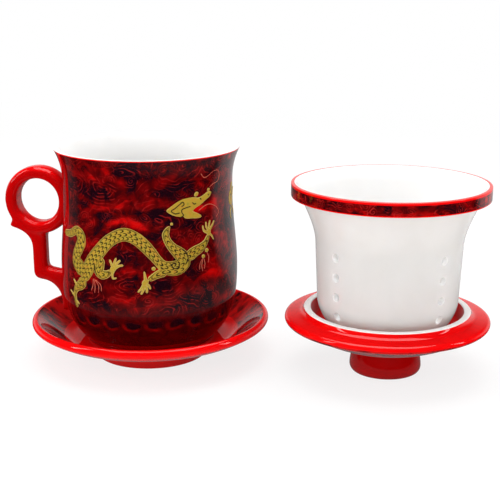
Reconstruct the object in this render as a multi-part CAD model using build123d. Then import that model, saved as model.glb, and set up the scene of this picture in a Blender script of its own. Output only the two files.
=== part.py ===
"""Lidded porcelain tea mug with a lift-out strainer and a saucer, laid out as a set.

The mug stands on its saucer. Beside it the strainer stands in the lid, which is
turned over and stands on its knob. Millimetres, +Z up, the origin at the bottom
centre of the whole set, +X from the mug towards the lid.
"""

import math
import os

from build123d import *

# Saucer, standing on the table
SAUCER_BRIM = 19.7
SAUCER_RIM_Z = 17.2
SAUCER_RIM_THICKNESS = 4.0
SAUCER_BRIM_SLOPE = 34.0
SAUCER_UNDER_SLOPE = 13.0
SAUCER_WELL_CLEARANCE = 5.6
SAUCER_WELL_Z = 9.2
SAUCER_FLOOR = 3.5
SAUCER_FOOT_INSET = 10.0
SAUCER_FOOT_WIDTH = 3.5
SAUCER_FOOT_FLARE = 1.0

# Mug body, heights above its own foot
MUG_HEIGHT = 89.9
MUG_MOUTH_R = 42.6
MUG_FLARE = 3.7
MUG_BELLY_SWELL = 2.1
MUG_SHOULDER_TUCK = 3.7
MUG_FOOT_INSET = 6.9
MUG_FLARE_DROP = 15.0
MUG_WAIST_DROP = 22.0
MUG_BELLY_Z = 33.8
MUG_SHOULDER_Z = 10.2
MUG_BOWL_SLOPE = 42.0
MUG_WALL = 2.4
MUG_LIP = 1.9
MUG_LIP_ROUND = 0.8
MUG_FLOOR = 4.4
MUG_FOOT_WIDTH = 3.4
MUG_FOOT_HEIGHT = 2.3
MUG_FOOT_STEP = 1.4

# Ring handle, in its own upright plane through the mug's axis
HANDLE_TURN = 10.0
RING_HOLE_R = 10.5
RING_BAND = 5.5
RING_DEPTH = 10.5
RING_ROUND = 2.2
RING_WEB = 3.5
RING_RISE = 38.7
ARM_OFFSET = 0.8
ARM_WIDTH = 6.6
ARM_DEPTH = 7.4
ARM_ROUND = 1.8
ARM_CORNER_R = 3.4
ARM_CROOK_R = 2.6
LOWER_ARM_Z = 24.0
LOWER_ARM_HEIGHT = 3.4
LOWER_ARM_RISE = 2.4
TAIL_STAND = 2.3
TAIL_LENGTH = 4.6
SPUR_REACH = 15.2
SPUR_DROP = 13.2
SPUR_TIP = 1.9
SPUR_BOW = 2.2
SPUR_SWEEP = 7.0

# Strainer, heights above its own base
STRAINER_HEIGHT = 68.0
STRAINER_FLANGE_OVERHANG = 1.2
STRAINER_FLANGE_HEIGHT = 6.1
STRAINER_FLANGE_LIP = 2.0
STRAINER_FLANGE_ROUND = 0.9
STRAINER_FLANGE_SLOPE = 55.0
STRAINER_NECK_CLEARANCE = 1.0
STRAINER_NECK_SLOPE = 66.0
STRAINER_NECK_DROP = 27.0
STRAINER_NECK_FLARE = 7.0
STRAINER_BASKET_TAPER = 1.1
STRAINER_BASKET_Z = 16.0
STRAINER_BOWL_SLOPE = 15.0
STRAINER_BASE_R = 20.0
STRAINER_WALL = 2.2
STRAINER_FLOOR = 2.6
DRAIN_R = 1.8
DRAIN_COLUMNS = 4
DRAIN_ROWS = 4
DRAIN_FIRST_Z = 12.4
DRAIN_PITCH = 8.85
DRAIN_TURN = 38.7
BASE_DRAIN_COUNT = 4
BASE_DRAIN_MARGIN = 9.0

# Lid, turned over, heights above its crown
LID_OVERHANG = 2.3
LID_RIM_Z = 11.0
LID_RIM_THICKNESS = 3.4
LID_BRIM_SLOPE = 8.0
LID_DOME_SLOPE = 24.0
LID_RING_CLEARANCE = 4.5
LID_RING_WIDTH = 3.0
LID_RING_ROUND = 0.7
LID_RING_TOP_Z = 15.8
LID_RING_FOOT = 2.4
LID_RING_FOOT_Z = 13.3
LID_DISH_Z = 8.6
LID_DISH_DRAFT = 0.8
LID_CROWN_MARGIN = 4.4
LID_CROWN_THICKNESS = 5.0
LID_SEAT_MARGIN = 2.0

# Lid knob, standing on the table
KNOB_HEIGHT = 13.6
KNOB_NECK_R = 14.6
KNOB_FLARE = 1.6
KNOB_END_Z = 2.4
KNOB_EDGE = 1.2
KNOB_FACE_WIDTH = 5.5
KNOB_RECESS_DEPTH = 3.0

# How the two stacks stand
STACK_GAP = 7.0
STACK_STAGGER = 24.2

# Sizes that follow from the ones above
waist_r = MUG_MOUTH_R - MUG_FLARE
belly_r = waist_r + MUG_BELLY_SWELL
shoulder_r = belly_r - MUG_SHOULDER_TUCK
mug_foot_r = shoulder_r - MUG_FOOT_INSET
well_r = mug_foot_r + SAUCER_WELL_CLEARANCE
saucer_r = well_r + SAUCER_BRIM
saucer_foot_r = well_r - SAUCER_FOOT_INSET
ring_outer_r = RING_HOLE_R + RING_BAND
ring_rho = waist_r + RING_WEB + RING_HOLE_R
ring_z = LOWER_ARM_Z + RING_RISE
flange_r = MUG_MOUTH_R + STRAINER_FLANGE_OVERHANG
flange_mouth_r = flange_r - STRAINER_FLANGE_LIP
flange_z = STRAINER_HEIGHT - STRAINER_FLANGE_HEIGHT
neck_top_r = MUG_MOUTH_R - MUG_LIP - STRAINER_NECK_CLEARANCE
neck_r = neck_top_r - STRAINER_NECK_FLARE
basket_r = neck_r - STRAINER_BASKET_TAPER
base_drain_circle_r = STRAINER_BASE_R - BASE_DRAIN_MARGIN
lid_r = flange_r + LID_OVERHANG
lid_ring_r = flange_mouth_r - LID_RING_CLEARANCE
crown_r = KNOB_NECK_R + LID_CROWN_MARGIN
knob_end_r = KNOB_NECK_R + KNOB_FLARE
knob_face_r = knob_end_r - KNOB_EDGE
knob_recess_r = knob_face_r - KNOB_FACE_WIDTH
stack_spacing = saucer_r + lid_r + STACK_GAP
ON_BASE = (Align.CENTER, Align.CENTER, Align.MIN)


def climb(degrees):
    """Direction that runs outwards and climbs at an angle above the horizontal."""
    return Vector(math.cos(math.radians(degrees)), math.sin(math.radians(degrees)))


def safe_round(radius, wall):
    """Edge radius, held under half of the wall that it rounds."""
    return min(radius, 0.45 * wall)


def turned(*edges):
    """Solid of revolution about Z from a closed outline of (radius, height) edges."""
    return revolve(Plane.XZ * make_face(edges), Axis.Z)


def round_rim(radius, height, thickness, slope):
    """Half-round edge of a sloping brim that just reaches a radius.

    Returns the arc's upper end, its arc and its lower end.
    """
    half = thickness / 2
    along = climb(slope)
    across = climb(slope + 90) * half
    middle = Vector(radius - half, height)
    upper = middle + across
    lower = middle - across
    return upper, ThreePointArc(upper, middle + along * half, lower), lower


def saucer():
    """Shallow dish: flat well, flared brim with a round edge, and a foot ring."""
    brim = climb(SAUCER_BRIM_SLOPE)
    upper, rim, lower = round_rim(saucer_r, SAUCER_RIM_Z, SAUCER_RIM_THICKNESS, SAUCER_BRIM_SLOPE)
    well = (well_r, SAUCER_WELL_Z)
    under_z = SAUCER_WELL_Z - SAUCER_FLOOR
    foot_out = (saucer_foot_r + SAUCER_FOOT_FLARE, under_z)
    foot_in_r = saucer_foot_r - SAUCER_FOOT_WIDTH
    return turned(
        Line((0, SAUCER_WELL_Z), well),
        Spline(well, upper, tangents=[(1, 0), brim]),
        rim,
        Spline(lower, foot_out, tangents=[-brim, -climb(SAUCER_UNDER_SLOPE)]),
        Polyline(
            foot_out,
            (saucer_foot_r, 0),
            (foot_in_r, 0),
            (foot_in_r - SAUCER_FOOT_FLARE, under_z),
            (0, under_z),
            (0, SAUCER_WELL_Z),
        ),
    )


def mug_shape(inset, lip_r, floor_z):
    """Solid inside a wall line that lies an inset in from the mug's outside.

    The wall flares to the lip, runs straight at the waist, swells to the belly and
    rounds in over the shoulder to the foot.
    """
    lip = (lip_r, MUG_HEIGHT)
    waist_top = (waist_r - inset, MUG_HEIGHT - MUG_FLARE_DROP)
    waist_low = (waist_r - inset, MUG_HEIGHT - MUG_WAIST_DROP)
    belly = (belly_r - inset, MUG_BELLY_Z)
    shoulder = (shoulder_r - inset, MUG_SHOULDER_Z)
    bottom = (mug_foot_r + MUG_FOOT_STEP - inset, floor_z)
    return turned(
        TangentArc(waist_top, lip, tangent=(0, 1)),
        Line(waist_top, waist_low),
        Spline(waist_low, belly, tangents=[(0, -1), (0, -1)]),
        Spline(belly, shoulder, bottom, tangents=[(0, -1), -climb(MUG_BOWL_SLOPE)]),
        Polyline(bottom, (0, floor_z), (0, MUG_HEIGHT), lip),
    )


def mug_outside():
    """The mug as a full solid, down to the top of its foot ring."""
    return mug_shape(0, MUG_MOUTH_R, MUG_FOOT_HEIGHT)


def mug_body():
    """Porcelain mug: thin wall, round lip and a stepped-in foot ring."""
    foot = Cylinder(mug_foot_r, MUG_FOOT_HEIGHT, align=ON_BASE)
    foot -= Cylinder(mug_foot_r - MUG_FOOT_WIDTH, MUG_FOOT_HEIGHT, align=ON_BASE)
    hollow = mug_shape(MUG_WALL, MUG_MOUTH_R - MUG_LIP, MUG_FOOT_HEIGHT + MUG_FLOOR)
    body = mug_outside() + foot - hollow
    lip = body.faces().sort_by(Axis.Z)[-1]
    return fillet(lip.edges(), safe_round(MUG_LIP_ROUND, MUG_LIP))


def slab(outline, depth, rounding):
    """Flat piece of even depth on both sides of the handle's plane, edges rounded."""
    block = extrude(Plane.XZ * outline, depth / 2, both=True)
    rims = block.edges().filter_by(lambda edge: abs(edge.center().Y) > 0.49 * depth)
    return fillet(rims, safe_round(rounding, depth))


def handle_ring():
    """Finger ring beside the mug's waist."""
    band = Circle(ring_outer_r) - Circle(RING_HOLE_R)
    return slab(Pos(ring_rho, ring_z) * band, RING_DEPTH, safe_round(RING_ROUND, RING_BAND))


def handle_bracket():
    """Spur under the ring, upright arm, lower arm and the tail down the shoulder."""
    arm_out = ring_rho + ARM_OFFSET + ARM_WIDTH / 2
    arm_in = arm_out - ARM_WIDTH
    under_ring = (arm_out, ring_z - ring_outer_r - SPUR_SWEEP)
    ring = Vector(ring_rho, ring_z)
    spur = ring + Vector(SPUR_REACH, -SPUR_DROP)
    spur_back = spur + Vector(-SPUR_TIP, 2 * SPUR_TIP)
    band_r = RING_HOLE_R + RING_BAND / 2
    to_spur = (spur_back - ring).normalized()
    band_start = ring + to_spur * band_r
    band_middle = ring + (to_spur + Vector(0, -1)).normalized() * band_r
    band_end = ring + Vector(0, -band_r)
    corner_rho = arm_out - ARM_CORNER_R
    corner_end = (arm_out, LOWER_ARM_Z + ARM_CORNER_R)
    tail_rho = belly_r + TAIL_STAND
    tail_z = LOWER_ARM_Z - (corner_rho - tail_rho)
    buried_rho = shoulder_r - MUG_WALL
    wall_z = LOWER_ARM_Z + LOWER_ARM_HEIGHT
    crook = (arm_in, wall_z + LOWER_ARM_RISE)
    outline = make_face(
        [
            Bezier(under_ring, (arm_out, ring_z - SPUR_DROP - SPUR_BOW), spur),
            Polyline(spur, spur_back, band_start),
            ThreePointArc(band_start, band_middle, band_end),
            Polyline(
                band_end,
                (arm_in, band_end.Y),
                crook,
                (buried_rho, wall_z),
                (buried_rho, tail_z - TAIL_LENGTH),
                (tail_rho, tail_z - TAIL_LENGTH),
                (tail_rho, tail_z),
            ),
            TangentArc((tail_rho, tail_z), (corner_rho, LOWER_ARM_Z), tangent=(0, 1)),
            TangentArc((corner_rho, LOWER_ARM_Z), corner_end, tangent=(1, 0)),
            Line(corner_end, under_ring),
        ]
    )
    crook_corner = outline.vertices().sort_by_distance(crook)[0]
    outline = fillet(crook_corner, safe_round(ARM_CROOK_R, LOWER_ARM_HEIGHT))
    return slab(outline, ARM_DEPTH, safe_round(ARM_ROUND, 2 * SPUR_TIP))


def mug_handle():
    """Ring and bracket, turned behind the mug's side and fitted to its outside."""
    handle = Rot(0, 0, 180 - HANDLE_TURN) * (handle_ring() + handle_bracket())
    return handle - mug_outside()


def strainer_shape(inset, floor_z, floor_r, mouth_r):
    """Solid inside a wall line that lies an inset in from the basket's outside.

    A round bowl, an almost straight basket, a neck that flares to the mug's mouth
    and, above it, the line to the mouth of the flange.
    """
    basket = (basket_r - inset, STRAINER_BASKET_Z)
    neck_low = (neck_r - inset, STRAINER_HEIGHT - STRAINER_NECK_DROP)
    neck_top = (neck_top_r - inset, flange_z)
    mouth = (mouth_r, STRAINER_HEIGHT)
    upright = Vector(*neck_low) - Vector(*basket)
    return turned(
        Line((0, floor_z), (floor_r, floor_z)),
        Spline((floor_r, floor_z), basket, tangents=[climb(STRAINER_BOWL_SLOPE), upright]),
        Line(basket, neck_low),
        Spline(neck_low, neck_top, tangents=[upright, climb(STRAINER_NECK_SLOPE)]),
        Spline(
            neck_top,
            mouth,
            tangents=[climb(STRAINER_NECK_SLOPE), climb(STRAINER_FLANGE_SLOPE)],
        ),
        Polyline(mouth, (0, STRAINER_HEIGHT), (0, floor_z)),
    )


def drains():
    """Pins for the drain holes: upright columns in the wall and a ring in the base."""
    wall_pin = Cylinder(DRAIN_R, flange_r, rotation=(90, 0, 0), align=ON_BASE)
    base_pin = Cylinder(DRAIN_R, STRAINER_BASKET_Z)
    pins = []
    for column in range(DRAIN_COLUMNS):
        turn = Rot(0, 0, DRAIN_TURN + column * 360 / DRAIN_COLUMNS)
        for row in range(DRAIN_ROWS):
            pins.append(turn * Pos(0, 0, DRAIN_FIRST_Z + row * DRAIN_PITCH) * wall_pin)
    for place in PolarLocations(base_drain_circle_r, BASE_DRAIN_COUNT):
        pins.append(place * base_pin)
    return pins


def strainer():
    """Lift-out basket that hangs in the mug's mouth by its flange."""
    outside = strainer_shape(0, 0, STRAINER_BASE_R, neck_top_r)
    flange = Pos(0, 0, flange_z) * Cylinder(flange_r, STRAINER_FLANGE_HEIGHT, align=ON_BASE)
    edges = flange.edges().filter_by(GeomType.CIRCLE)
    flange = fillet(edges, safe_round(STRAINER_FLANGE_ROUND, STRAINER_FLANGE_LIP))
    hollow = strainer_shape(
        STRAINER_WALL, STRAINER_FLOOR, STRAINER_BASE_R - STRAINER_WALL / 2, flange_mouth_r
    )
    body = outside + flange - hollow
    mouth = body.faces().sort_by(Axis.Z)[-1].edges().sort_by(SortBy.RADIUS)[0]
    body = fillet(mouth, safe_round(STRAINER_FLANGE_ROUND, STRAINER_FLANGE_LIP))
    return body - drains()


def lid_cover():
    """Lid turned over: dome below, round rim, brim and a ring that locates it."""
    upper, rim, lower = round_rim(lid_r, LID_RIM_Z, LID_RIM_THICKNESS, -LID_BRIM_SLOPE)
    ring_in = lid_ring_r - LID_RING_WIDTH
    ring_foot = (lid_ring_r + LID_RING_FOOT, LID_RING_FOOT_Z)
    ring_top = (lid_ring_r, LID_RING_TOP_Z)
    dish = (ring_in - LID_DISH_DRAFT, LID_DISH_Z)
    seat = (STRAINER_BASE_R + LID_SEAT_MARGIN, LID_CROWN_THICKNESS)
    crown = (crown_r, 0)
    body = turned(
        Line((0, 0), crown),
        Spline(crown, lower, tangents=[(1, 0), climb(LID_DOME_SLOPE)]),
        rim,
        Line(upper, ring_foot),
        TangentArc(ring_foot, ring_top, tangent=-climb(-LID_BRIM_SLOPE)),
        Polyline(ring_top, (ring_in, LID_RING_TOP_Z), dish),
        Spline(dish, seat, tangents=[-climb(LID_DOME_SLOPE), (-1, 0)]),
        Polyline(seat, (0, LID_CROWN_THICKNESS), (0, 0)),
    )
    top = body.faces().sort_by(Axis.Z)[-1]
    return fillet(top.edges(), safe_round(LID_RING_ROUND, LID_RING_WIDTH))


def lid_knob():
    """Knob that the lid stands on: a waisted drum with a dished end."""
    neck = (KNOB_NECK_R, KNOB_HEIGHT)
    end = (knob_end_r, KNOB_END_Z)
    body = turned(
        Polyline((0, 0), (0, KNOB_HEIGHT), neck),
        Spline(neck, end, tangents=[(0, -1), (0, -1)]),
        TangentArc(end, (knob_face_r, 0), tangent=(0, -1)),
        Line((knob_face_r, 0), (0, 0)),
    )
    return body - Cylinder(knob_recess_r, 2 * KNOB_RECESS_DEPTH)


def pieces():
    """Every piece at its place in the set, by name, the origin at the bottom centre."""
    mug_place = Pos(0, 0, SAUCER_WELL_Z)
    knob_place = Pos(stack_spacing, -STACK_STAGGER, 0)
    lid_place = knob_place * Pos(0, 0, KNOB_HEIGHT)
    strainer_place = lid_place * Pos(0, 0, LID_CROWN_THICKNESS)
    placed = {
        "saucer": saucer(),
        "mug_body": mug_place * mug_body(),
        "mug_handle": mug_place * mug_handle(),
        "strainer": strainer_place * strainer(),
        "lid_cover": lid_place * lid_cover(),
        "lid_knob": knob_place * lid_knob(),
    }
    box = Compound(list(placed.values())).bounding_box()
    centre = Pos(-box.center().X, -box.center().Y, -box.min.Z)
    return {name: centre * piece for name, piece in placed.items()}


def main():
    """Write one STEP file for each piece."""
    os.makedirs("parts", exist_ok=True)
    for name, piece in pieces().items():
        export_step(piece, f"parts/{name}.step")


if __name__ == "__main__":
    main()
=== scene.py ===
"""Looks of a porcelain tea mug with its saucer, its strainer and its lid.

The mug stands on its saucer and wears a dark red scroll print with a gilt dragon.
The white strainer stands beside it in the lid, which is turned over on its knob.
Sizes are millimetres here, and become metres when a mesh is made.
"""

import logging
import math
from dataclasses import dataclass
from enum import Enum, IntEnum
from typing import Callable, Dict, List, Optional, Sequence, Tuple, Union

import bmesh
import bpy
import numpy as np
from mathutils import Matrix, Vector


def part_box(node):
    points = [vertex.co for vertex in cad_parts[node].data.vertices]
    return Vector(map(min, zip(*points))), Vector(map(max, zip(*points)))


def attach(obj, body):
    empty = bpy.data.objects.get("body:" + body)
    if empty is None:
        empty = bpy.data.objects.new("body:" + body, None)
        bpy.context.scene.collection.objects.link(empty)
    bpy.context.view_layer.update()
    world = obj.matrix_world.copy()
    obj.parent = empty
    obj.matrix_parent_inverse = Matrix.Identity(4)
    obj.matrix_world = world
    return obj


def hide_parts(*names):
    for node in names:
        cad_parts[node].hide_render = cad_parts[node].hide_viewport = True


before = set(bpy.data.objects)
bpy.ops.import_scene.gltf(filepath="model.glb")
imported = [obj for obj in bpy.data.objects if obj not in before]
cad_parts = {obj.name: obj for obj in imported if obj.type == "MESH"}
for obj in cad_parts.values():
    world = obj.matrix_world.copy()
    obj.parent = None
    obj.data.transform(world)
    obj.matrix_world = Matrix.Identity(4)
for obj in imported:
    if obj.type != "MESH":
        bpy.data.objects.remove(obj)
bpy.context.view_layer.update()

LOG = logging.getLogger("tea_mug")
MM = 0.001
TAU = 2 * math.pi
# Points closer together than this, in metres, are one point
WELD = 1e-7
# A rise smaller than this, in millimetres, counts as level
LEVEL = 1e-9
# Samples in one width of the bell curve that softens an outline, and widths to each side
BELL_SAMPLES = 5
BELL_REACH = 4
# What a mesh carries: texture place, distance inside the painted edge, and upward share, which places the
# painted light from above
UV_NAME = "surface_mm"
PAINT_NAME = "paint_edge"
UPWARD_NAME = "upward"
# Painted edge of a point that has no print
UNPAINTED = -1.0

Colour = Tuple[float, float, float]
Pair = Tuple[float, float]
Place = Tuple[float, float, float]
Line = Tuple[Pair, ...]
Stroke = Tuple[Place, ...]
Array = np.ndarray
Socket = bpy.types.NodeSocket
Coat = bpy.types.Material
Piece = bpy.types.Object


class Body(Enum):
    """Moving bodies of the set."""

    SAUCER = "saucer"
    MUG = "mug"
    LID = "lid"
    STRAINER = "strainer"


class PrintPlane(Enum):
    """Where a print is read: along a wall, or flat over a brim."""

    WALL = "wall"
    BRIM = "brim"


class Slot(Enum):
    """Material slots of the record."""

    PRINT = "printed_glaze"
    RED = "red_glaze"
    WHITE = "white_glaze"


class Coating(IntEnum):
    """Order of the finishes on a piece: its print, its plain coat and its inner coat."""

    PRINT = 0
    PLAIN = 1
    INNER = 2


class Layer(IntEnum):
    """Lowest layer of each part of the dragon, counted from the wall."""

    WHISKERS = 0
    BODY = 2
    HEAD = 3
    LIMBS = 4
    CLAWS = 6
    PEARLS = 6
    LINES = 10


# Shader sheets


def operator(operation: str, turned: bool = False) -> Callable[..., "Val"]:
    """Method of a shader number that adds one Math node.

    Args:
        operation: Blender's name for what the node does.
        turned: Whether the number comes after its operand, as the mask does in 1 - mask.

    Returns:
        The method.
    """

    def method(self: "Val", *others: "Operand") -> "Val":
        """Result of the operation on the number and its operand."""
        operands = (*others, self) if turned else (self, *others)
        return self.sheet.math(operation, *operands)

    return method


class Val:
    """A shader number: it wraps an output socket, and operators add Math nodes."""

    def __init__(self, sheet: "Sheet", socket: Socket) -> None:
        """Keep the sheet that the number is on and the socket that gives it."""
        self.sheet = sheet
        self.socket = socket

    __add__ = __radd__ = operator("ADD")
    __sub__ = operator("SUBTRACT")
    __rsub__ = operator("SUBTRACT", turned=True)
    __mul__ = __rmul__ = operator("MULTIPLY")
    __truediv__ = operator("DIVIDE")
    __pow__ = operator("POWER")
    __abs__ = operator("ABSOLUTE")
    __floor__ = operator("FLOOR")
    fract = operator("FRACT")
    least = operator("MINIMUM")
    most = operator("MAXIMUM")
    exp = operator("EXPONENT")
    bearing = operator("ARCTAN2")

    def rise(self, low: float, high: float) -> "Val":
        """Smooth step from 0 at low to 1 at high, or the other way round.

        Args:
            low: Value that gives 0.
            high: Value that gives 1.

        Returns:
            A number from 0 to 1.
        """
        ends = (low, high, 0.0, 1.0) if low < high else (high, low, 1.0, 0.0)
        names = ("From Min", "From Max", "To Min", "To Max")
        inputs = {"Value": self, **dict(zip(names, ends))}
        kind = {"interpolation_type": "SMOOTHSTEP"}
        return Val(self.sheet, self.sheet.add("ShaderNodeMapRange", kind, inputs).outputs["Result"])


Operand = Union[Val, float]
Feed = Union[Val, float, tuple, Socket]


class Sheet:
    """The nodes of one material or of the world."""

    def __init__(self, tree: bpy.types.NodeTree) -> None:
        """Start from an empty node tree."""
        self.tree = tree
        self.tree.nodes.clear()

    def add(
        self,
        kind: str,
        settings: Optional[dict] = None,
        inputs: Optional[Dict[Union[str, int], Feed]] = None,
    ) -> bpy.types.Node:
        """Add one node.

        Args:
            kind: Blender's name for the node's type.
            settings: Properties of the node, and "stops" for a ramp's places and colours.
            inputs: Values or links of its sockets, by name or number.

        Returns:
            The node.
        """
        node = self.tree.nodes.new(kind)
        for name, value in (settings or {}).items():
            if name == "stops":
                self.set_stops(node.color_ramp, value)
            else:
                setattr(node, name, value)
        for name, value in (inputs or {}).items():
            self.feed(node.inputs[name], value)
        return node

    def set_stops(self, ramp: bpy.types.ColorRamp, stops: Sequence[Tuple[float, Colour]]) -> None:
        """Give a colour ramp its places and colours.

        Args:
            ramp: The ramp.
            stops: Places from 0 to 1, with their colours.
        """
        while len(ramp.elements) < len(stops):
            ramp.elements.new(1.0)
        for element, (place, colour) in zip(ramp.elements, stops):
            element.position = place
            element.color = (*colour, 1.0)

    def feed(self, socket: Socket, value: Feed) -> None:
        """Link a socket to a value, or set it to a constant.

        Args:
            socket: Input of a node.
            value: Shader number, output of a node, plain number or colour.
        """
        if isinstance(value, Val):
            value = value.socket
        if isinstance(value, Socket):
            self.tree.links.new(value, socket)
        elif isinstance(value, tuple) and socket.type == "RGBA":
            socket.default_value = (*value, 1.0)
        else:
            socket.default_value = value

    def math(self, operation: str, *operands: Operand) -> Val:
        """Add one Math node on its operands and wrap its result."""
        node = self.add("ShaderNodeMath", {"operation": operation}, dict(enumerate(operands)))
        return Val(self, node.outputs[0])

    def mix(self, share: Operand, first: Feed, second: Feed) -> Socket:
        """Blend two colours.

        Args:
            share: 0 gives the first colour and 1 the second.
            first: Colour or its socket.
            second: Colour or its socket.

        Returns:
            The blended colour's socket.
        """
        inputs = {0: share, 6: first, 7: second}
        return self.add("ShaderNodeMix", {"data_type": "RGBA"}, inputs).outputs[2]

    def noise(self, place: Feed, scale: float, detail: float = 2.0, twist: float = 0.0) -> Val:
        """Cloudy number from 0 to 1, with its own distortion.

        Args:
            place: Where to read it.
            scale: Clouds per unit of place.
            detail: Finer layers.
            twist: How far the clouds are pulled out of shape.

        Returns:
            The number.
        """
        inputs = {"Vector": place, "Scale": scale, "Detail": detail, "Distortion": twist}
        return Val(self, self.add("ShaderNodeTexNoise", None, inputs).outputs["Fac"])

    def vector(self, x: Operand, y: Operand, z: Operand = 0.0) -> Socket:
        """Put three numbers together."""
        return self.add("ShaderNodeCombineXYZ", None, {0: x, 1: y, 2: z}).outputs[0]

    def split(self, place: Socket) -> Tuple[Val, Val, Val]:
        """Take a vector apart into its three numbers."""
        node = self.add("ShaderNodeSeparateXYZ", None, {0: place})
        return Val(self, node.outputs[0]), Val(self, node.outputs[1]), Val(self, node.outputs[2])

    def surface_place(self) -> Tuple[Val, Val]:
        """The piece's own texture place.

        Returns:
            Millimetres along and across.
        """
        node = self.add("ShaderNodeUVMap", {"uv_map": UV_NAME})
        along, across, _ = self.split(node.outputs[0])
        return along, across

    def carried(self, name: str) -> Val:
        """Number that the mesh carries at its points under a name."""
        node = self.add("ShaderNodeAttribute", {"attribute_name": name})
        return Val(self, node.outputs["Fac"])

    def object_place(self) -> Socket:
        """Place in the set's own frame, in metres."""
        return self.add("ShaderNodeTexCoord").outputs["Object"]

    def bump(self, height: Val, strength: float, depth: float) -> Socket:
        """Normal of a skin that a number from 0 to 1 roughens.

        Args:
            height: How far the skin stands out, as a share of the depth.
            strength: How strongly it shows.
            depth: Largest height, in metres.

        Returns:
            The normal's socket.
        """
        inputs = {"Height": height, "Strength": strength, "Distance": depth}
        return self.add("ShaderNodeBump", None, inputs).outputs[0]

    def finish(self, **inputs: Feed) -> None:
        """End the sheet in a Principled surface with these sockets, underscores as spaces."""
        named = {name.replace("_", " "): value for name, value in inputs.items()}
        shader = self.add("ShaderNodeBsdfPrincipled", None, named)
        self.add("ShaderNodeOutputMaterial", None, {"Surface": shader.outputs[0]})


def new_sheet(name: str) -> Tuple[Coat, Sheet]:
    """A new material and its empty sheet.

    Args:
        name: The material's name.

    Returns:
        The material and the sheet of its nodes.
    """
    material = bpy.data.materials.new(name)
    material.use_nodes = True
    return material, Sheet(material.node_tree)


# Finishes


@dataclass(frozen=True)
class Glaze:
    """Glossy glaze that pools a little and ripples very faintly, with light from above painted into its
    colour on upright faces.
    """

    name: str
    colour: Colour
    pooled: Colour
    # Colour of upright and downward faces, which paints in the light from above: painted shade there, or the
    # plain colour where the main colour is a painted reflection
    steep_shade: Optional[Colour] = None
    gloss: float = 0.5
    roughness: float = 0.05
    speckle: float = 0.04
    glow_through: float = 0.0
    glow_depth: float = 0.003
    glow_tint: Colour = (1.0, 0.93, 0.85)
    pool_scale: float = 70.0
    pool_range: Pair = (0.35, 0.75)
    steep_shade_range: Pair = (0.85, 0.10)
    ripple_scale: float = 420.0
    ripple_strength: float = 0.10
    ripple_depth: float = 0.00006

    def ripple(self, sheet: Sheet) -> Socket:
        """Normal of the glaze's skin, from fine clouds."""
        height = sheet.noise(sheet.object_place(), self.ripple_scale, detail=1.0)
        return sheet.bump(height, self.ripple_strength, self.ripple_depth)

    def tone(self, sheet: Sheet) -> Socket:
        """Colour of the glaze, deeper where it pools, and with light from above painted in: upright and
        downward faces take their own colour.

        Args:
            sheet: Sheet to draw on.

        Returns:
            The colour's socket.
        """
        pools = sheet.noise(sheet.object_place(), self.pool_scale, detail=3.0)
        tone = sheet.mix(pools.rise(*self.pool_range), self.colour, self.pooled)
        if self.steep_shade is None:
            return tone
        return sheet.mix(sheet.carried(UPWARD_NAME).rise(*self.steep_shade_range), tone, self.steep_shade)

    def material(self) -> Coat:
        """Draw the glaze, with fine specks in its roughness.

        Returns:
            The finished material.
        """
        material, sheet = new_sheet(self.name)
        specks = sheet.noise(sheet.object_place(), self.ripple_scale * 2)
        sheet.finish(
            Base_Color=self.tone(sheet),
            Roughness=specks * self.speckle + (self.roughness - self.speckle / 2),
            Specular_IOR_Level=self.gloss,
            Subsurface_Weight=self.glow_through,
            Subsurface_Radius=self.glow_tint,
            Subsurface_Scale=self.glow_depth,
            Normal=self.ripple(sheet),
        )
        return material


@dataclass(frozen=True)
class BareClay:
    """Unglazed, ground edge of the porcelain: chalky white with fine grain."""

    name: str = "bare_clay"
    colour: Colour = (0.86, 0.85, 0.83)
    grain: Colour = (0.74, 0.72, 0.69)
    grain_scale: float = 1500.0
    grain_range: Pair = (0.55, 0.8)
    grain_strength: float = 0.3
    grain_depth: float = 0.0001
    roughness: float = 0.55
    roughness_swing: float = 0.2

    def material(self) -> Coat:
        """Draw the clay.

        Returns:
            The finished material.
        """
        material, sheet = new_sheet(self.name)
        grain = sheet.noise(sheet.object_place(), self.grain_scale, detail=3.0)
        sheet.finish(
            Base_Color=sheet.mix(grain.rise(*self.grain_range), self.colour, self.grain),
            Roughness=grain * self.roughness_swing + self.roughness,
            Normal=sheet.bump(grain, self.grain_strength, self.grain_depth),
        )
        return material


def nearest_centre(sheet: Sheet, place: Socket, size: float) -> Tuple[Val, Val, Val]:
    """Nearest of some scattered centres.

    Args:
        sheet: Sheet to draw on.
        place: Where to read it, in millimetres.
        size: Distance between centres.

    Returns:
        Distance to the centre, and the two parts of the way from it.
    """
    nearest = sheet.add("ShaderNodeTexVoronoi", None, {"Vector": place, "Scale": 1 / size})
    ends = {0: place, 1: nearest.outputs["Position"]}
    arm = sheet.add("ShaderNodeVectorMath", {"operation": "SUBTRACT"}, ends)
    x, y, _ = sheet.split(arm.outputs[0])
    return (x * x + y * y) ** 0.5, x, y


@dataclass(frozen=True)
class Glow:
    """A bright patch in the print, or a dark one where its strength is negative."""

    along: float
    height: float
    half_length: float
    half_height: float
    tilt: float
    strength: float

    def number(self, along: Val, height: Val) -> Val:
        """Strength of the patch at a place: exp(-x^2 - y^2) in its own turned axes.

        Args:
            along: Place along the wall, in millimetres.
            height: Place up the wall, in millimetres.

        Returns:
            What the patch adds to the print's tone.
        """
        cos, sin = math.cos(math.radians(self.tilt)), math.sin(math.radians(self.tilt))
        du, dv = along - self.along, height - self.height
        x = (du * cos + dv * sin) / self.half_length
        y = (dv * cos - du * sin) / self.half_height
        return (0.0 - (x * x + y * y)).exp() * self.strength


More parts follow.
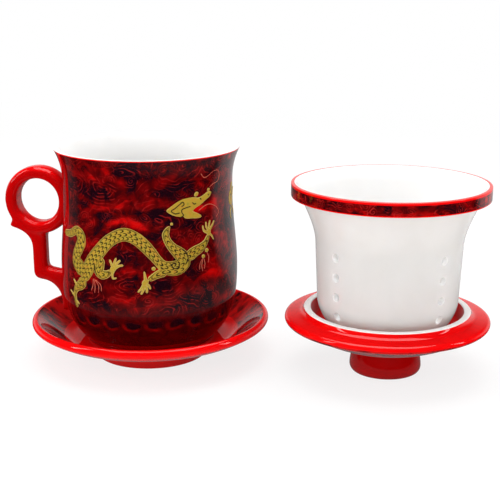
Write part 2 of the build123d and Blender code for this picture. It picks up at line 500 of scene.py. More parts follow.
@dataclass(frozen=True)
class Curls:
    """Ink lines round scattered centres: spirals with one turn, or rings with none."""

    size: float
    pitch: float
    turns: float
    reach: float
    line_half: float = 0.30
    fade: float = 0.65

    def number(self, sheet: Sheet, place: Socket) -> Val:
        """Draw the lines.

        The phase is the distance over the pitch, plus the bearing for a spiral. A line
        stands where the phase is near a half, and fades out towards the cell's edge.

        Args:
            sheet: Sheet to draw on.
            place: Where to read the print, in millimetres.

        Returns:
            1 on a line and 0 off it.
        """
        distance, x, y = nearest_centre(sheet, place, self.size)
        phase = distance / self.pitch + y.bearing(x) / TAU * self.turns
        line = (abs(phase.fract() - 0.5) * self.pitch).rise(self.line_half, 0.0)
        end = self.size * self.reach
        return line * distance.rise(end, end * self.fade)


@dataclass(frozen=True)
class Puffs:
    """Blurred crescents: bright along the upper edge of each cloud and dark inside it."""

    size: float
    edge: float = 0.42
    edge_half: float = 0.26
    upper: Pair = (-0.10, 0.42)
    core: float = 0.40
    core_depth: float = 0.5

    def number(self, sheet: Sheet, place: Socket) -> Val:
        """Draw the clouds from the distance and the height over their centres.

        Args:
            sheet: Sheet to draw on.
            place: Where to read the print, in millimetres.

        Returns:
            What the clouds add to the print's tone.
        """
        distance, _, y = nearest_centre(sheet, place, self.size)
        share = distance / self.size
        edge = abs(share - self.edge).rise(self.edge_half, 0.0)
        upper = (y / self.size).rise(*self.upper)
        return edge * upper - share.rise(self.core, 0.0) * self.core_depth


@dataclass(frozen=True)
class PrintPlaces:
    """Where the layers of a print are read: plain, bent by slow clouds, or bent and widened."""

    sheet: Sheet
    along: Val
    height: Val
    sway: Val
    drift: Val
    flat: Socket
    bent: Socket
    wide: Socket
    mottle: Val


@dataclass(frozen=True)
class WaveRow:
    """Row of rolling waves near the foot: dark hollows, each under a bright crest."""

    height: float
    length: float = 9.8
    fade: Pair = (7.5, 3.5)
    sway: float = 5.0
    drift: float = 4.0
    lean: float = 0.7
    tilt: float = 0.35
    hollow: Pair = (9.0, 3.2)
    crest_squash: float = 2.2
    crest_reach: float = 3.6
    crest_half: float = 2.6
    crest_fade: Pair = (1.5, -3.0)
    crest_tone: float = 0.24
    hollow_tone: float = 0.46
    ground_tone: float = 0.47
    mottle: float = 0.2
    calm: float = 0.9

    def near(self, height: Val) -> Val:
        """1 in the row and 0 well above it."""
        return height.rise(self.height + self.fade[0], self.height + self.fade[1])

    def tone(self, at: PrintPlaces) -> Val:
        """Tone of the row.

        A hollow is a bell in leaning axes, and its crest is a part of an ellipse round it.

        Args:
            at: Where the print is read.

        Returns:
            Tone of the print, brighter on a crest and darker in a hollow.
        """
        along, height = at.along + at.sway * self.sway, at.height + at.drift * self.drift
        x = ((along / self.length).fract() - 0.5) * self.length
        y = height - self.height
        lean, rise = x + y * self.lean, y - x * self.tilt
        hollow = (0.0 - (lean * lean / self.hollow[0] + rise * rise / self.hollow[1])).exp()
        reach = (lean * lean + rise * rise * self.crest_squash) ** 0.5
        crest = abs(reach - self.crest_reach).rise(self.crest_half, 0.0)
        crest = crest * (rise + lean).rise(*self.crest_fade)
        tone = crest * self.crest_tone - hollow * self.hollow_tone + self.ground_tone
        return tone + (at.mottle - 0.5) * self.mottle


@dataclass(frozen=True)
class ScrollPrint:
    """Dark red transfer print of clouds, curls and wave lines under a glaze."""

    name: str
    plain: Glaze
    ground: PrintPlane = PrintPlane.WALL
    glows: Tuple[Glow, ...] = ()
    waves: Optional[WaveRow] = None
    lightness: float = 0.0
    contrast: float = 1.0
    lip_height: Optional[float] = None
    lip_fade: float = 0.2
    edge_half: float = 0.08
    sway_scale: float = 0.07
    drift_scale: float = 0.08
    bend: float = 7.0
    wide_bend: float = 9.0
    widening: float = 0.62
    cloud_size: float = 16.0
    cloud_twist: float = 0.5
    cloud_share: float = 0.60
    mottle_scale: float = 0.22
    mottle_twist: float = 0.8
    mottle_share: float = 0.40
    puff_size: float = 15.0
    puff_share: float = 0.13
    small_puff: float = 0.42
    small_puff_share: float = 0.08
    ink_share: float = 0.60
    ink_range: Pair = (0.34, 0.60)
    patch_scale: float = 0.06
    curls: Curls = Curls(6.5, 1.1, 1.0, 0.58)
    curl_patches: Pair = (0.48, 0.58)
    fans: Curls = Curls(15.0, 1.7, 0.0, 0.75)
    fan_patches: Pair = (0.52, 0.42)
    ripple_scale: float = 0.035
    ripple_count: float = 11.0
    ripple_half: float = 0.05
    ripple_share: float = 0.3
    ray_step: float = 9.0
    ray_slant: float = 0.85
    ray_sway: float = 12.0
    ray_half: float = 0.030
    ray_patches: Pair = (0.50, 0.56)
    ray_share: float = 0.9
    black: Colour = (0.010, 0.0015, 0.004)
    maroon: Colour = (0.048, 0.0008, 0.0015)
    red: Colour = (0.15, 0.0010, 0.0015)
    scarlet: Colour = (0.52, 0.0018, 0.0020)
    tones: Tuple[float, ...] = (0.34, 0.45, 0.60, 0.82)
    ink: Colour = (0.36, 0.013, 0.012)
    lip_red: Colour = (0.85, 0.010, 0.008)

    def place(self, sheet: Sheet) -> Tuple[Val, Val]:
        """Where the print is read: along the wall, or flat over a brim.

        Args:
            sheet: Sheet to draw on.

        Returns:
            Two places in millimetres.
        """
        if self.ground is PrintPlane.WALL:
            return sheet.surface_place()
        x, y, _ = sheet.split(sheet.object_place())
        return x / MM, y / MM

    def places(self, sheet: Sheet) -> PrintPlaces:
        """Places for the print's layers, and the slow clouds that bend them.

        Args:
            sheet: Sheet to draw on.

        Returns:
            The places.
        """
        along, height = self.place(sheet)
        flat = sheet.vector(along, height)
        sway = sheet.noise(flat, self.sway_scale) - 0.5
        drift = sheet.noise(sheet.vector(height, along), self.drift_scale) - 0.5
        bent = sheet.vector(along + sway * self.bend, height + drift * self.bend)
        wide = sheet.vector(along * self.widening + drift * self.wide_bend, height + sway * self.wide_bend)
        mottle = sheet.noise(bent, self.mottle_scale, detail=3.0, twist=self.mottle_twist)
        return PrintPlaces(sheet, along, height, sway, drift, flat, bent, wide, mottle)

    def cloud_tone(self, at: PrintPlaces) -> Val:
        """Tone of the clouds: noise in two sizes, crescents in two sizes, and the patches.

        Args:
            at: Where the print is read.

        Returns:
            Tone of the print, from 0 for black to 1 for scarlet.
        """
        clouds = at.sheet.noise(at.wide, 1 / self.cloud_size, twist=self.cloud_twist)
        puffs = Puffs(self.puff_size).number(at.sheet, at.wide)
        small_puffs = Puffs(self.puff_size * self.small_puff).number(at.sheet, at.bent)
        tone = clouds * self.cloud_share + at.mottle * self.mottle_share + puffs * self.puff_share
        tone = tone + small_puffs * self.small_puff_share
        tone = (tone - 0.5) * self.contrast + 0.5 + self.lightness
        for glow in self.glows:
            tone = tone + glow.number(at.along, at.height)
        return tone

    def ink_lines(self, at: PrintPlaces) -> Val:
        """Drawn lines: curls and fans in patches of their own, ripples, and slanting rays.

        Args:
            at: Where the print is read.

        Returns:
            1 on a line and 0 off it.
        """
        patches = at.sheet.noise(at.flat, self.patch_scale, detail=1.0)
        curls = self.curls.number(at.sheet, at.bent) * patches.rise(*self.curl_patches)
        fans = self.fans.number(at.sheet, at.wide) * patches.rise(*self.fan_patches)
        flow = at.sheet.noise(at.wide, self.ripple_scale, detail=1.0) * self.ripple_count
        ripples = abs(flow.fract() - 0.5).rise(self.ripple_half, 0.0)
        slant = (at.height - at.along * self.ray_slant + at.sway * self.ray_sway) / self.ray_step
        rays = abs(slant.fract() - 0.5).rise(self.ray_half, 0.0) * patches.rise(*self.ray_patches)
        return (curls + fans + ripples * self.ripple_share + rays * self.ray_share).least(1.0)

    def colours(self, sheet: Sheet) -> Socket:
        """The print's colour over its piece.

        Args:
            sheet: Sheet to draw on.

        Returns:
            The colour's socket.
        """
        at = self.places(sheet)
        tone = self.cloud_tone(at)
        strength = at.mottle.rise(*self.ink_range) * self.ink_share
        if self.waves is not None:
            near = self.waves.near(at.height)
            tone = tone * (1.0 - near) + self.waves.tone(at) * near
            strength = strength * (1.0 - near * self.waves.calm)
        stops = tuple(zip(self.tones, (self.black, self.maroon, self.red, self.scarlet)))
        ground = sheet.add("ShaderNodeValToRGB", {"stops": stops}, {"Fac": tone}).outputs[0]
        return sheet.mix(self.ink_lines(at) * strength, ground, self.ink)

    def material(self) -> Coat:
        """Draw the plain glaze, and the print inside its painted edge.

        Returns:
            The finished material.
        """
        material, sheet = new_sheet(self.name)
        inside = sheet.carried(PAINT_NAME).rise(-self.edge_half, self.edge_half)
        # The plain glaze's tone, with the painted light from above that it carries
        border = self.plain.tone(sheet)
        if self.lip_height is not None:
            _, height = self.place(sheet)
            lip = height.rise(self.lip_height - self.lip_fade, self.lip_height)
            border = sheet.mix(lip, border, self.lip_red)
        sheet.finish(
            Base_Color=sheet.mix(inside, border, self.colours(sheet)),
            Roughness=self.plain.roughness,
            Specular_IOR_Level=self.plain.gloss,
            Normal=self.plain.ripple(sheet),
        )
        return material


@dataclass(frozen=True)
class Gilding:
    """Gold brush work, with or without drawn scales, and a pale outer line."""

    name: str
    scales: bool
    gold: Colour = (0.46, 0.305, 0.028)
    amber: Colour = (0.50, 0.25, 0.026)
    moss: Colour = (0.30, 0.255, 0.026)
    pale: Colour = (0.56, 0.42, 0.12)
    stroke: Colour = (0.020, 0.015, 0.004)
    tint_scale: float = 0.45
    amber_range: Pair = (0.50, 0.72)
    moss_range: Pair = (0.46, 0.30)
    scale_length: float = 2.6
    scale_width: float = 1.55
    scale_middle: float = 0.35
    scale_squash: float = 1.2
    first_row: float = 100.5
    sway: float = 0.5
    sway_scale: float = 0.5
    arc_reach: float = 0.40
    arc_range: Pair = (0.19, 0.09)
    arc_front: Pair = (-0.16, 0.04)
    rim: float = 0.46
    outline: float = 0.40
    inner_fade: float = 0.25
    gap_scale: float = 0.12
    gap_range: Pair = (0.28, 0.46)
    pale_share: float = 0.8
    metallic: float = 0.15
    gloss: float = 0.2
    roughness: float = 0.24
    roughness_swing: float = 0.15

    def scale_strokes(self, sheet: Sheet, along: Val, across: Val) -> Val:
        """Brush strokes of overlapping scales, in rows set half a scale apart.

        A stroke is the front part of an ellipse round the middle of its scale.

        Args:
            sheet: Sheet to draw on.
            along: Millimetres along the brush work.
            across: Millimetres across it.

        Returns:
            1 on a stroke and 0 off it.
        """
        row = across / self.scale_width + self.first_row
        shift = (math.floor(row) * 0.5).fract()
        sway = sheet.noise(sheet.vector(along, across), self.sway_scale, detail=1.0) - 0.5
        x = (along / self.scale_length + shift + sway * self.sway).fract() - self.scale_middle
        y = row.fract() - 0.5
        reach = (x * x + y * y * self.scale_squash) ** 0.5
        arc = abs(reach - self.arc_reach).rise(*self.arc_range)
        return arc * x.rise(*self.arc_front)

    def material(self) -> Coat:
        """Draw the gold, its scales, the dark line inside its rim and the pale rim.

        Returns:
            The finished material.
        """
        material, sheet = new_sheet(self.name)
        along, across = sheet.surface_place()
        edge = sheet.carried(PAINT_NAME)
        place = sheet.vector(along, across)
        tint = sheet.noise(place, self.tint_scale)
        gold = sheet.mix(tint.rise(*self.amber_range), self.gold, self.amber)
        gold = sheet.mix(tint.rise(*self.moss_range), gold, self.moss)
        if self.scales:
            inner = self.rim + self.outline
            strokes = self.scale_strokes(sheet, along, across) * edge.rise(inner, inner + self.inner_fade)
            gap = abs(edge - (self.rim + self.outline / 2)).rise(self.outline / 2, self.outline / 4)
            gap = gap * sheet.noise(place, self.gap_scale, detail=1.0).rise(*self.gap_range)
            gold = sheet.mix(strokes.most(gap), gold, self.stroke)
        gold = sheet.mix(edge.rise(self.rim, self.rim / 2) * self.pale_share, gold, self.pale)
        sheet.finish(
            Base_Color=gold,
            Metallic=self.metallic,
            Roughness=tint * self.roughness_swing + self.roughness,
            Specular_IOR_Level=self.gloss,
        )
        return material


@dataclass(frozen=True)
class Ink:
    """A thin painted line of one colour with an uneven flow."""

    name: str
    colour: Colour
    faded: Colour
    gloss: float = 0.1
    roughness: float = 0.25
    roughness_swing: float = 0.1
    flow_scale: float = 500.0
    flow_range: Pair = (0.4, 0.7)

    def material(self) -> Coat:
        """Draw the line's colour.

        Returns:
            The finished material.
        """
        material, sheet = new_sheet(self.name)
        flow = sheet.noise(sheet.object_place(), self.flow_scale)
        sheet.finish(
            Base_Color=sheet.mix(flow.rise(*self.flow_range), self.colour, self.faded),
            Roughness=flow * self.roughness_swing + self.roughness,
            Specular_IOR_Level=self.gloss,
        )
        return material


# Outlines, as rows of (radius, height) points


def climb(degrees: float) -> Array:
    """Direction that runs outwards and climbs at an angle above the horizontal."""
    return np.array([math.cos(math.radians(degrees)), math.sin(math.radians(degrees))])


def straight(*corners: Pair) -> Array:
    """A line through corners."""
    return np.array(corners, float)


def tangent_arc(start: Pair, end: Pair, heading: Pair, count: int = 40) -> Array:
    """Circular arc that leaves its start along a heading and passes through its end.

    The turn is twice the angle between the heading and the chord.

    Args:
        start: First point.
        end: Last point.
        heading: Direction at the start.
        count: Points along the arc.

    Returns:
        Points along the arc.
    """
    a, chord = np.array(start, float), np.subtract(end, start).astype(float)
    ahead = np.array(heading, float) / np.hypot(*heading)
    left = np.array([-ahead[1], ahead[0]])
    half = math.atan2(chord @ left, chord @ ahead)
    radius = np.hypot(*chord) / (2 * math.sin(half))
    turn = np.linspace(0, 2 * half, count)[:, None]
    return a + radius * (np.sin(turn) * ahead + (1 - np.cos(turn)) * left)


def hermite(t: Array, a: Array, b: Array, da: Array, db: Array) -> Array:
    """Cubic from one place to another with set slopes at both.

    Args:
        t: Shares of the way, from 0 to 1.
        a: First place.
        b: Last place.
        da: Slope at the first place.
        db: Slope at the last place.

    Returns:
        Places along the cubic.
    """
    t = t[..., None]
    s = 1 - t
    return a * (1 + 2 * t) * s * s + b * (3 - 2 * t) * t * t + da * t * s * s - db * t * t * s


def distance_along(line: Array) -> Array:
    """Distance of each point of a flat line from its first one, along the line."""
    return np.concatenate([[0.0], np.cumsum(np.hypot(*np.diff(line, axis=0).T))])


def resample(line: Array, measure: Array, step: float) -> Array:
    """The same flat line at even steps of a measure that grows along it.

    Args:
        line: Points of the line.
        measure: The measure at each point, from 0.
        step: Largest step of the measure.

    Returns:
        Points of the line, with both of its ends.
    """
    places = np.linspace(0, measure[-1], int(measure[-1] / step) + 2)
    return np.stack([np.interp(places, measure, line[:, k]) for k in range(2)], axis=1)


def flowing(
    points: Sequence[Pair], first: Sequence[float], last: Sequence[float], count: int = 40
) -> Array:
    """Smooth curve through two or three points with set directions at its ends.

    Each span is a cubic. The end slopes are as steep as the parabola, or the line,
    through the points, and a middle slope makes the curvature continuous.

    Args:
        points: Two or three points.
        first: Direction at the start.
        last: Direction at the end.
        count: Points along each span.

    Returns:
        Points along the curve.
    """
    p = np.array(points, float)
    span = np.hypot(*np.diff(p, axis=0).T)
    knots = distance_along(p)
    slope = np.diff(p, axis=0) / span[:, None]
    bend = np.diff(slope, axis=0) / knots[-1] if len(p) == 3 else np.zeros((1, 2))
    start_pace = np.hypot(*(slope[0] - bend[0] * span[0]))
    end_pace = np.hypot(*(slope[-1] + bend[0] * span[-1]))
    pace = np.zeros_like(p)
    pace[0] = np.array(first, float) / np.hypot(*first) * start_pace
    pace[-1] = np.array(last, float) / np.hypot(*last) * end_pace
    if len(p) == 3:
        pull = 3 * (span[1] * slope[0] + span[0] * slope[1])
        pace[1] = (pull - span[1] * pace[0] - span[0] * pace[2]) / (2 * span.sum())
    t = np.linspace(0, 1, count)
    runs = [hermite(t, p[i], p[i + 1], pace[i] * h, pace[i + 1] * h) for i, h in enumerate(span)]
    return np.concatenate(runs)


def half_round(radius: float, height: float, thickness: float, slope: float, count: int = 24) -> Array:
    """Half-round edge of a sloping brim, from its lower end to its upper end.

    Args:
        radius: Largest radius of the edge.
        height: Height of its middle.
        thickness: Thickness of the brim.
        slope: Slope of the brim, in degrees.
        count: Points round the edge.

    Returns:
        Points of the edge.
    """
    half = thickness / 2
    turn = np.radians(np.linspace(-90, 90, count) + slope)
    return np.stack([radius - half + half * np.cos(turn), height + half * np.sin(turn)], axis=1)


def softened(runs: Sequence[Array], softness: float, step: float = 1.1, turn: float = 7.0) -> Array:
    """Outline whose corners are rounded as a coat of glaze rounds them.

    The outline is averaged under a bell curve along its own length. It is then sampled
    so that neither the distance nor the turn between two points grows large.

    Args:
        runs: Stretches of the outline, end to end.
        softness: Width of the bell curve.
        step: Largest distance between points.
        turn: Largest turn between points, in degrees.

    Returns:
        Points of the softened outline.
    """
    fine = softness / BELL_SAMPLES
    reach = BELL_SAMPLES * BELL_REACH
    rough = np.concatenate(runs)
    line = resample(rough, distance_along(rough), fine)
    bell = np.exp(-0.5 * (np.arange(-reach, reach + 1) * fine / softness) ** 2)
    bell /= bell.sum()
    ends = [2 * line[0] - line[reach:0:-1], line, 2 * line[-1] - line[-2:-reach - 2:-1]]
    padded = np.concatenate(ends)
    smooth = np.stack([np.convolve(padded[:, k], bell, "valid") for k in range(2)], axis=1)
    ahead = np.diff(smooth, axis=0)
    heading = np.unwrap(np.arctan2(ahead[:, 1], ahead[:, 0]))
    bends = np.abs(np.diff(heading, prepend=heading[0]))
    effort = np.concatenate([[0.0], np.cumsum(np.hypot(*ahead.T) / step + bends / math.radians(turn))])
    return resample(smooth, effort, 1.0)


# Meshes


@dataclass
class Grid:
    """Points in rows and columns, with texture places, painted edges, finishes and kept faces."""

    points: Array
    uv: Array
    paint: Array
    finish: Array
    keep: Array

    def faces(self, first: int) -> Array:
        """Corners of the kept faces.

        Args:
            first: Number of the grid's first point.

        Returns:
            Four point numbers for each face.
        """
        rows, columns = self.points.shape[:2]
        numbers = first + np.arange(rows * columns).reshape(rows, columns)
        corners = (numbers[:-1, :-1], numbers[:-1, 1:], numbers[1:, 1:], numbers[1:, :-1])
        return np.stack(corners, axis=-1)[self.keep]

    def print_rows(self, rows: Array, band: Array) -> None:
        """Give some rows their distance inside the painted edge, and leave the others bare."""
        self.paint = np.broadcast_to(np.where(rows, band, UNPAINTED)[:, None], self.paint.shape)

    def dress_rows(self, finish: Array) -> None:
        """Give each row of faces the number of its finish."""
        self.finish = np.broadcast_to(finish[:, None], self.keep.shape)

    def read_flat(self, outline: Array, radius: float) -> None:
        """Set a brim's texture place: millimetres round it, and distance from its axis."""
        self.uv = np.stack(np.broadcast_arrays(self.uv[..., 0] * radius, outline[:, :1]), axis=-1)

    def read_upright(self, radius: float) -> None:
        """Set a wall's texture place: millimetres round it at a radius, and height."""
        self.uv = self.uv * np.array([radius, 1.0])

    def raise_by(self, height: float) -> None:
        """Move the grid up."""
        self.points = self.points + np.array([0.0, 0.0, height])

    def cut_out(self, row: int, column: int, half_rows: int, half_columns: int) -> None:
        """Drop a block of faces.

        Args:
            row: Row of the block's middle point.
            column: Column of its middle point.
            half_rows: Faces above and below that point.
            half_columns: Faces on each side of it.
        """
        self.keep[row - half_rows: row + half_rows, column - half_columns: column + half_columns] = False


def new_grid(
    points: Array,
    uv: Array,
    paint: Union[Array, float] = UNPAINTED,
    finish: Union[Array, int] = Coating.PRINT,
) -> Grid:
    """Grid with every face kept.

    Args:
        points: Places, rows by columns by 3.
        uv: Texture places, rows by columns by 2.
        paint: Distance inside the painted edge, for each point or for all.
        finish: Number of the finish, for each face or for all.

    Returns:
        The grid.
    """
    rows, columns = points.shape[:2]
    cells = (rows - 1, columns - 1)
    full_paint = np.broadcast_to(paint, (rows, columns))
    return Grid(points, uv, full_paint, np.broadcast_to(finish, cells), np.ones(cells, bool))


def lathe_points(radius: Array, height: Array, angle: Array) -> Array:
    """Places round an upright axis: (r sin a, -r cos a, z).

    Args:
        radius: Distances from the axis.
        height: Heights.
        angle: Angles in radians. 0 looks towards -Y, and they turn towards +X.

    Returns:
        Places, with three numbers in the last axis.
    """
    flat = np.broadcast_to(height, np.broadcast(radius, angle).shape)
    return np.stack([radius * np.sin(angle), -radius * np.cos(angle), flat], axis=-1)


def lathe(outline: Array, steps: int, turn: float = 0.0) -> Grid:
    """Surface that an outline sweeps round the axis.

    Args:
        outline: (radius, height) points, up the outside and down the inside.
        steps: Columns in a full turn.
        turn: Angle of the first column.

    Returns:
        The grid, with angle in radians and height as its texture place.
    """
    angle = turn + np.linspace(0, TAU, steps + 1)
    radius, height = outline[:, :1], outline[:, 1:]
    points = lathe_points(radius, height, angle[None, :])
    uv = np.stack(np.broadcast_arrays(angle[None, :], height), axis=-1)
    return new_grid(points, uv)


def weld(mesh: bpy.types.Mesh, distance: float) -> None:
    """Merge the points of a mesh that lie close together.

    Args:
        mesh: The mesh.
        distance: Largest distance between points that are merged, in metres.
    """
    work = bmesh.new()
    work.from_mesh(mesh)
    bmesh.ops.remove_doubles(work, verts=work.verts, dist=distance)
    work.to_mesh(mesh)
    work.free()


def finish_skin(mesh: bpy.types.Mesh, finishes: Sequence[Coat]) -> None:
    """Give a mesh its materials and smooth shading, and keep how far each point faces up, which places the
    painted light from above.

    Args:
        mesh: The mesh.
        finishes: Materials, in the order of the faces' finish numbers.
    """
    for finish in finishes:
        mesh.materials.append(finish)
    mesh.polygons.foreach_set("use_smooth", np.ones(len(mesh.polygons), bool))
    normals = np.empty(len(mesh.vertices) * 3, np.float32)
    mesh.vertices.foreach_get("normal", normals)
    attribute = mesh.attributes.new(UPWARD_NAME, "FLOAT", "POINT")
    attribute.data.foreach_set("value", normals[2::3].copy())


def put_in_scene(name: str, data: bpy.types.ID) -> Piece:
    """New object of a mesh, lamp or camera, linked into the scene.

    Args:
        name: The object's name.
        data: What it shows.

    Returns:
        The object, at the origin.
    """
    thing = bpy.data.objects.new(name, data)
    bpy.context.scene.collection.objects.link(thing)
    return thing


def make_piece(name: str, grids: Sequence[Grid], finishes: Sequence[Coat], axis: Place) -> Piece:
    """Mesh object of some grids, welded along their shared edges.

    Args:
        name: The piece's name.
        grids: Surfaces in millimetres round the axis.
        finishes: Materials, in the order of the grids' finish numbers.
        axis: Place of the axis on the table, in metres.

    Returns:
        The object, at the origin, with its place in its mesh.
    """
    starts = np.cumsum([0] + [grid.paint.size for grid in grids])
    faces = np.concatenate([grid.faces(start) for grid, start in zip(grids, starts)])
    points = np.concatenate([grid.points.reshape(-1, 3) for grid in grids]) * MM + np.array(axis)
    uv = np.concatenate([grid.uv.reshape(-1, 2) for grid in grids])
    paint = np.concatenate([grid.paint.reshape(-1) for grid in grids])
    numbers = np.concatenate([grid.finish[grid.keep] for grid in grids])
    mesh = bpy.data.meshes.new(name)
    mesh.from_pydata(points, [], faces.tolist())
    mesh.uv_layers.new(name=UV_NAME).data.foreach_set("uv", uv[faces].astype(np.float32).ravel())
    attribute = mesh.attributes.new(PAINT_NAME, "FLOAT", "POINT")
    attribute.data.foreach_set("value", paint.astype(np.float32))
    mesh.polygons.foreach_set("material_index", numbers.astype(np.int32))
    weld(mesh, WELD)
    finish_skin(mesh, finishes)
    return put_in_scene(name, mesh)


def fit(piece: Piece, body: Body, slot: Slot, *nodes: str) -> None:
    """Put a piece on its body and hide the solids that it stands for.

    Args:
        piece: The piece.
        body: Body that it rides on.
        slot: Material slot of the record; not used.
        nodes: Solids that it replaces.
    """
    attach(piece, body.value)
    if nodes:
        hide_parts(*nodes)
    LOG.info("%s rides on %s, %d faces", piece.name, body.value, len(piece.data.polygons))


def axis_of(node: str) -> Place:
    """Upright axis of a round solid.

    Args:
        node: The solid's name.

    Returns:
        Place of the axis at table height, in metres.
    """
    low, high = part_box(node)
    return ((low.x + high.x) / 2, (low.y + high.y) / 2, 0.0)


# Pieces


@dataclass
class Saucer:
    """Shallow dish with a printed brim."""

    radius: float = 55.7
    rim_z: float = 17.2
    rim_thickness: float = 4.0
    brim_slope: float = 34.0
    under_slope: float = 13.0
    well_r: float = 36.0
    well_z: float = 9.2
    floor: float = 3.5
    foot_r: float = 26.0
    foot_width: float = 3.5
    foot_flare: float = 1.0
    print_from: float = 41.2
    print_to: float = 53.4
    softness: float = 0.35
    steps: int = 256

    def outline(self) -> Array:
        """Underside, round rim, brim and well.

        Returns:
            Points of the softened outline.
        """
        rim = half_round(self.radius, self.rim_z, self.rim_thickness, self.brim_slope)
        under_z = self.well_z - self.floor
        foot_in = self.foot_r - self.foot_width
        foot_top = (self.foot_r + self.foot_flare, under_z)
        well = (self.well_r, self.well_z)
        brim = climb(self.brim_slope)
        runs = [
            straight((0, under_z), (foot_in - self.foot_flare, under_z), (foot_in, 0), (self.foot_r, 0)),
            flowing([foot_top, tuple(rim[0])], climb(self.under_slope), brim),
            rim,
            flowing([tuple(rim[-1]), well], -brim, (-1, 0)),
            straight(well, (0, self.well_z)),
        ]
        return softened(runs, self.softness)

    def build(self, glaze: ScrollPrint) -> Piece:
        """Sweep the outline round and print the brim.

        Args:
            glaze: Print of the brim.

        Returns:
            The dressed saucer.
        """
        outline = self.outline()
        radius = outline[:, 0]
        grid = lathe(outline, self.steps, math.pi)
        top = np.arange(len(outline)) > np.argmax(radius)
        grid.print_rows(top, np.minimum(radius - self.print_from, self.print_to - radius))
        grid.read_flat(outline, self.well_r)
        return make_piece("saucer_glazed", [grid], [glaze.material()], axis_of("saucer"))


@dataclass
class Mug:
    """Porcelain mug with a flared lip, a belly and a stepped-in foot."""

    height: float = 89.9
    mouth_r: float = 42.6
    waist_r: float = 38.9
    belly_r: float = 41.0
    shoulder_r: float = 37.3
    flare_drop: float = 15.0
    waist_drop: float = 22.0
    belly_z: float = 33.8
    shoulder_z: float = 10.2
    bowl_slope: float = 42.0
    wall: float = 2.4
    lip: float = 1.9
    floor: float = 4.4
    foot_r: float = 30.4
    foot_width: float = 3.4
    foot_height: float = 2.3
    foot_step: float = 1.4
    softness: float = 0.30
    steps: int = 288
    handle_angle: float = -100.0
    bare_half_angle: float = 40.5
    print_low: float = 4.6
    print_drop: float = 0.65
    white_drop: float = 0.15
    arc_r: float = 40.0

    def wall_line(self, inset: float, lip_r: float, bottom_z: float) -> Array:
        """Wall from its bottom up to the lip.

        Args:
            inset: Distance in from the outside.
            lip_r: Radius at the lip.
            bottom_z: Height of the bottom.

        Returns:
            Points of the line.
        """
        waist_top = (self.waist_r - inset, self.height - self.flare_drop)
        waist_low = (self.waist_r - inset, self.height - self.waist_drop)
        belly = (self.belly_r - inset, self.belly_z)
        shoulder = (self.shoulder_r - inset, self.shoulder_z)
        bottom = (self.foot_r + self.foot_step - inset, bottom_z)
        return np.concatenate(
            [
                flowing([bottom, shoulder, belly], climb(self.bowl_slope), (0, 1)),
                flowing([belly, waist_low], (0, 1), (0, 1)),
                tangent_arc(waist_top, (lip_r, self.height), (0, 1)),
            ]
        )

    def outside(self) -> Array:
        """Outer wall line."""
        return self.wall_line(0.0, self.mouth_r, self.foot_height)

    def inside(self, floor_z: float) -> Array:
        """Inner wall line: below the belly, the outside moved in along its normals.

        Args:
            floor_z: Height of the floor.

        Returns:
            Points of the line, from the floor up to the lip.
        """
        outer = self.outside()
        way = np.gradient(outer, axis=0)
        inward = np.stack([-way[:, 1], way[:, 0]], axis=1) / np.hypot(*way.T)[:, None]
        bowl = outer + inward * self.wall
        upper = self.wall_line(self.wall, self.mouth_r - self.lip, floor_z)
        bowl = bowl[(bowl[:, 1] > floor_z) & (bowl[:, 1] < self.belly_z)]
        return np.concatenate([bowl, upper[upper[:, 1] >= self.belly_z]])

    def outline(self) -> Array:
        """Foot, outside, lip and inside.

        Returns:
            Points of the softened outline.
        """
        foot_in = self.foot_r - self.foot_width
        inner_floor = self.foot_height + self.floor
        inside = self.inside(inner_floor)[::-1]
        runs = [
            straight((0, self.foot_height), (foot_in, self.foot_height), (foot_in, 0), (self.foot_r, 0)),
            straight((self.foot_r, self.foot_height)),
            self.outside(),
            inside,
            straight((0, inner_floor)),
        ]
        return softened(runs, self.softness)

    def foot_z(self) -> float:
        """Height of the mug's foot above the table."""
        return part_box("mug_body")[0].z / MM

    def paint(self, angle: Array, height: Array) -> Array:
        """Distance inside the print: below the lip, above the foot and clear of the handle.

        Args:
            angle: Angles round the mug, in radians.
            height: Heights over its foot.

        Returns:
            Distances in millimetres, negative outside the print.
        """
        from_handle = np.abs((angle - math.radians(self.handle_angle) + math.pi) % TAU - math.pi)
        beside = (from_handle - math.radians(self.bare_half_angle)) * self.arc_r
        tall = np.minimum(height - self.print_low, self.height - self.print_drop - height)
        return np.minimum(beside, tall)

    def build(self, glaze: ScrollPrint, white: Coat) -> Piece:
        """Sweep the outline round, with the print outside and white inside.

        Args:
            glaze: Print of the outside.
            white: Glaze of the inside.

        Returns:
            The dressed mug body.
        """
        outline = self.outline()
        grid = lathe(outline, self.steps, math.radians(self.handle_angle))
        outside = np.arange(len(outline)) < np.argmax(outline[:, 1])
        red_rows = outside & (outline[:, 1] < self.height - self.white_drop)
        paint = self.paint(grid.uv[..., 0], grid.uv[..., 1])
        grid.paint = np.where(red_rows[:, None], paint, UNPAINTED)
        grid.dress_rows(np.where(red_rows[:-1], Coating.PRINT, Coating.PLAIN))
        grid.read_upright(self.arc_r)
        grid.raise_by(self.foot_z())
        return make_piece("mug_glazed", [grid], [glaze.material(), white], axis_of("mug_body"))


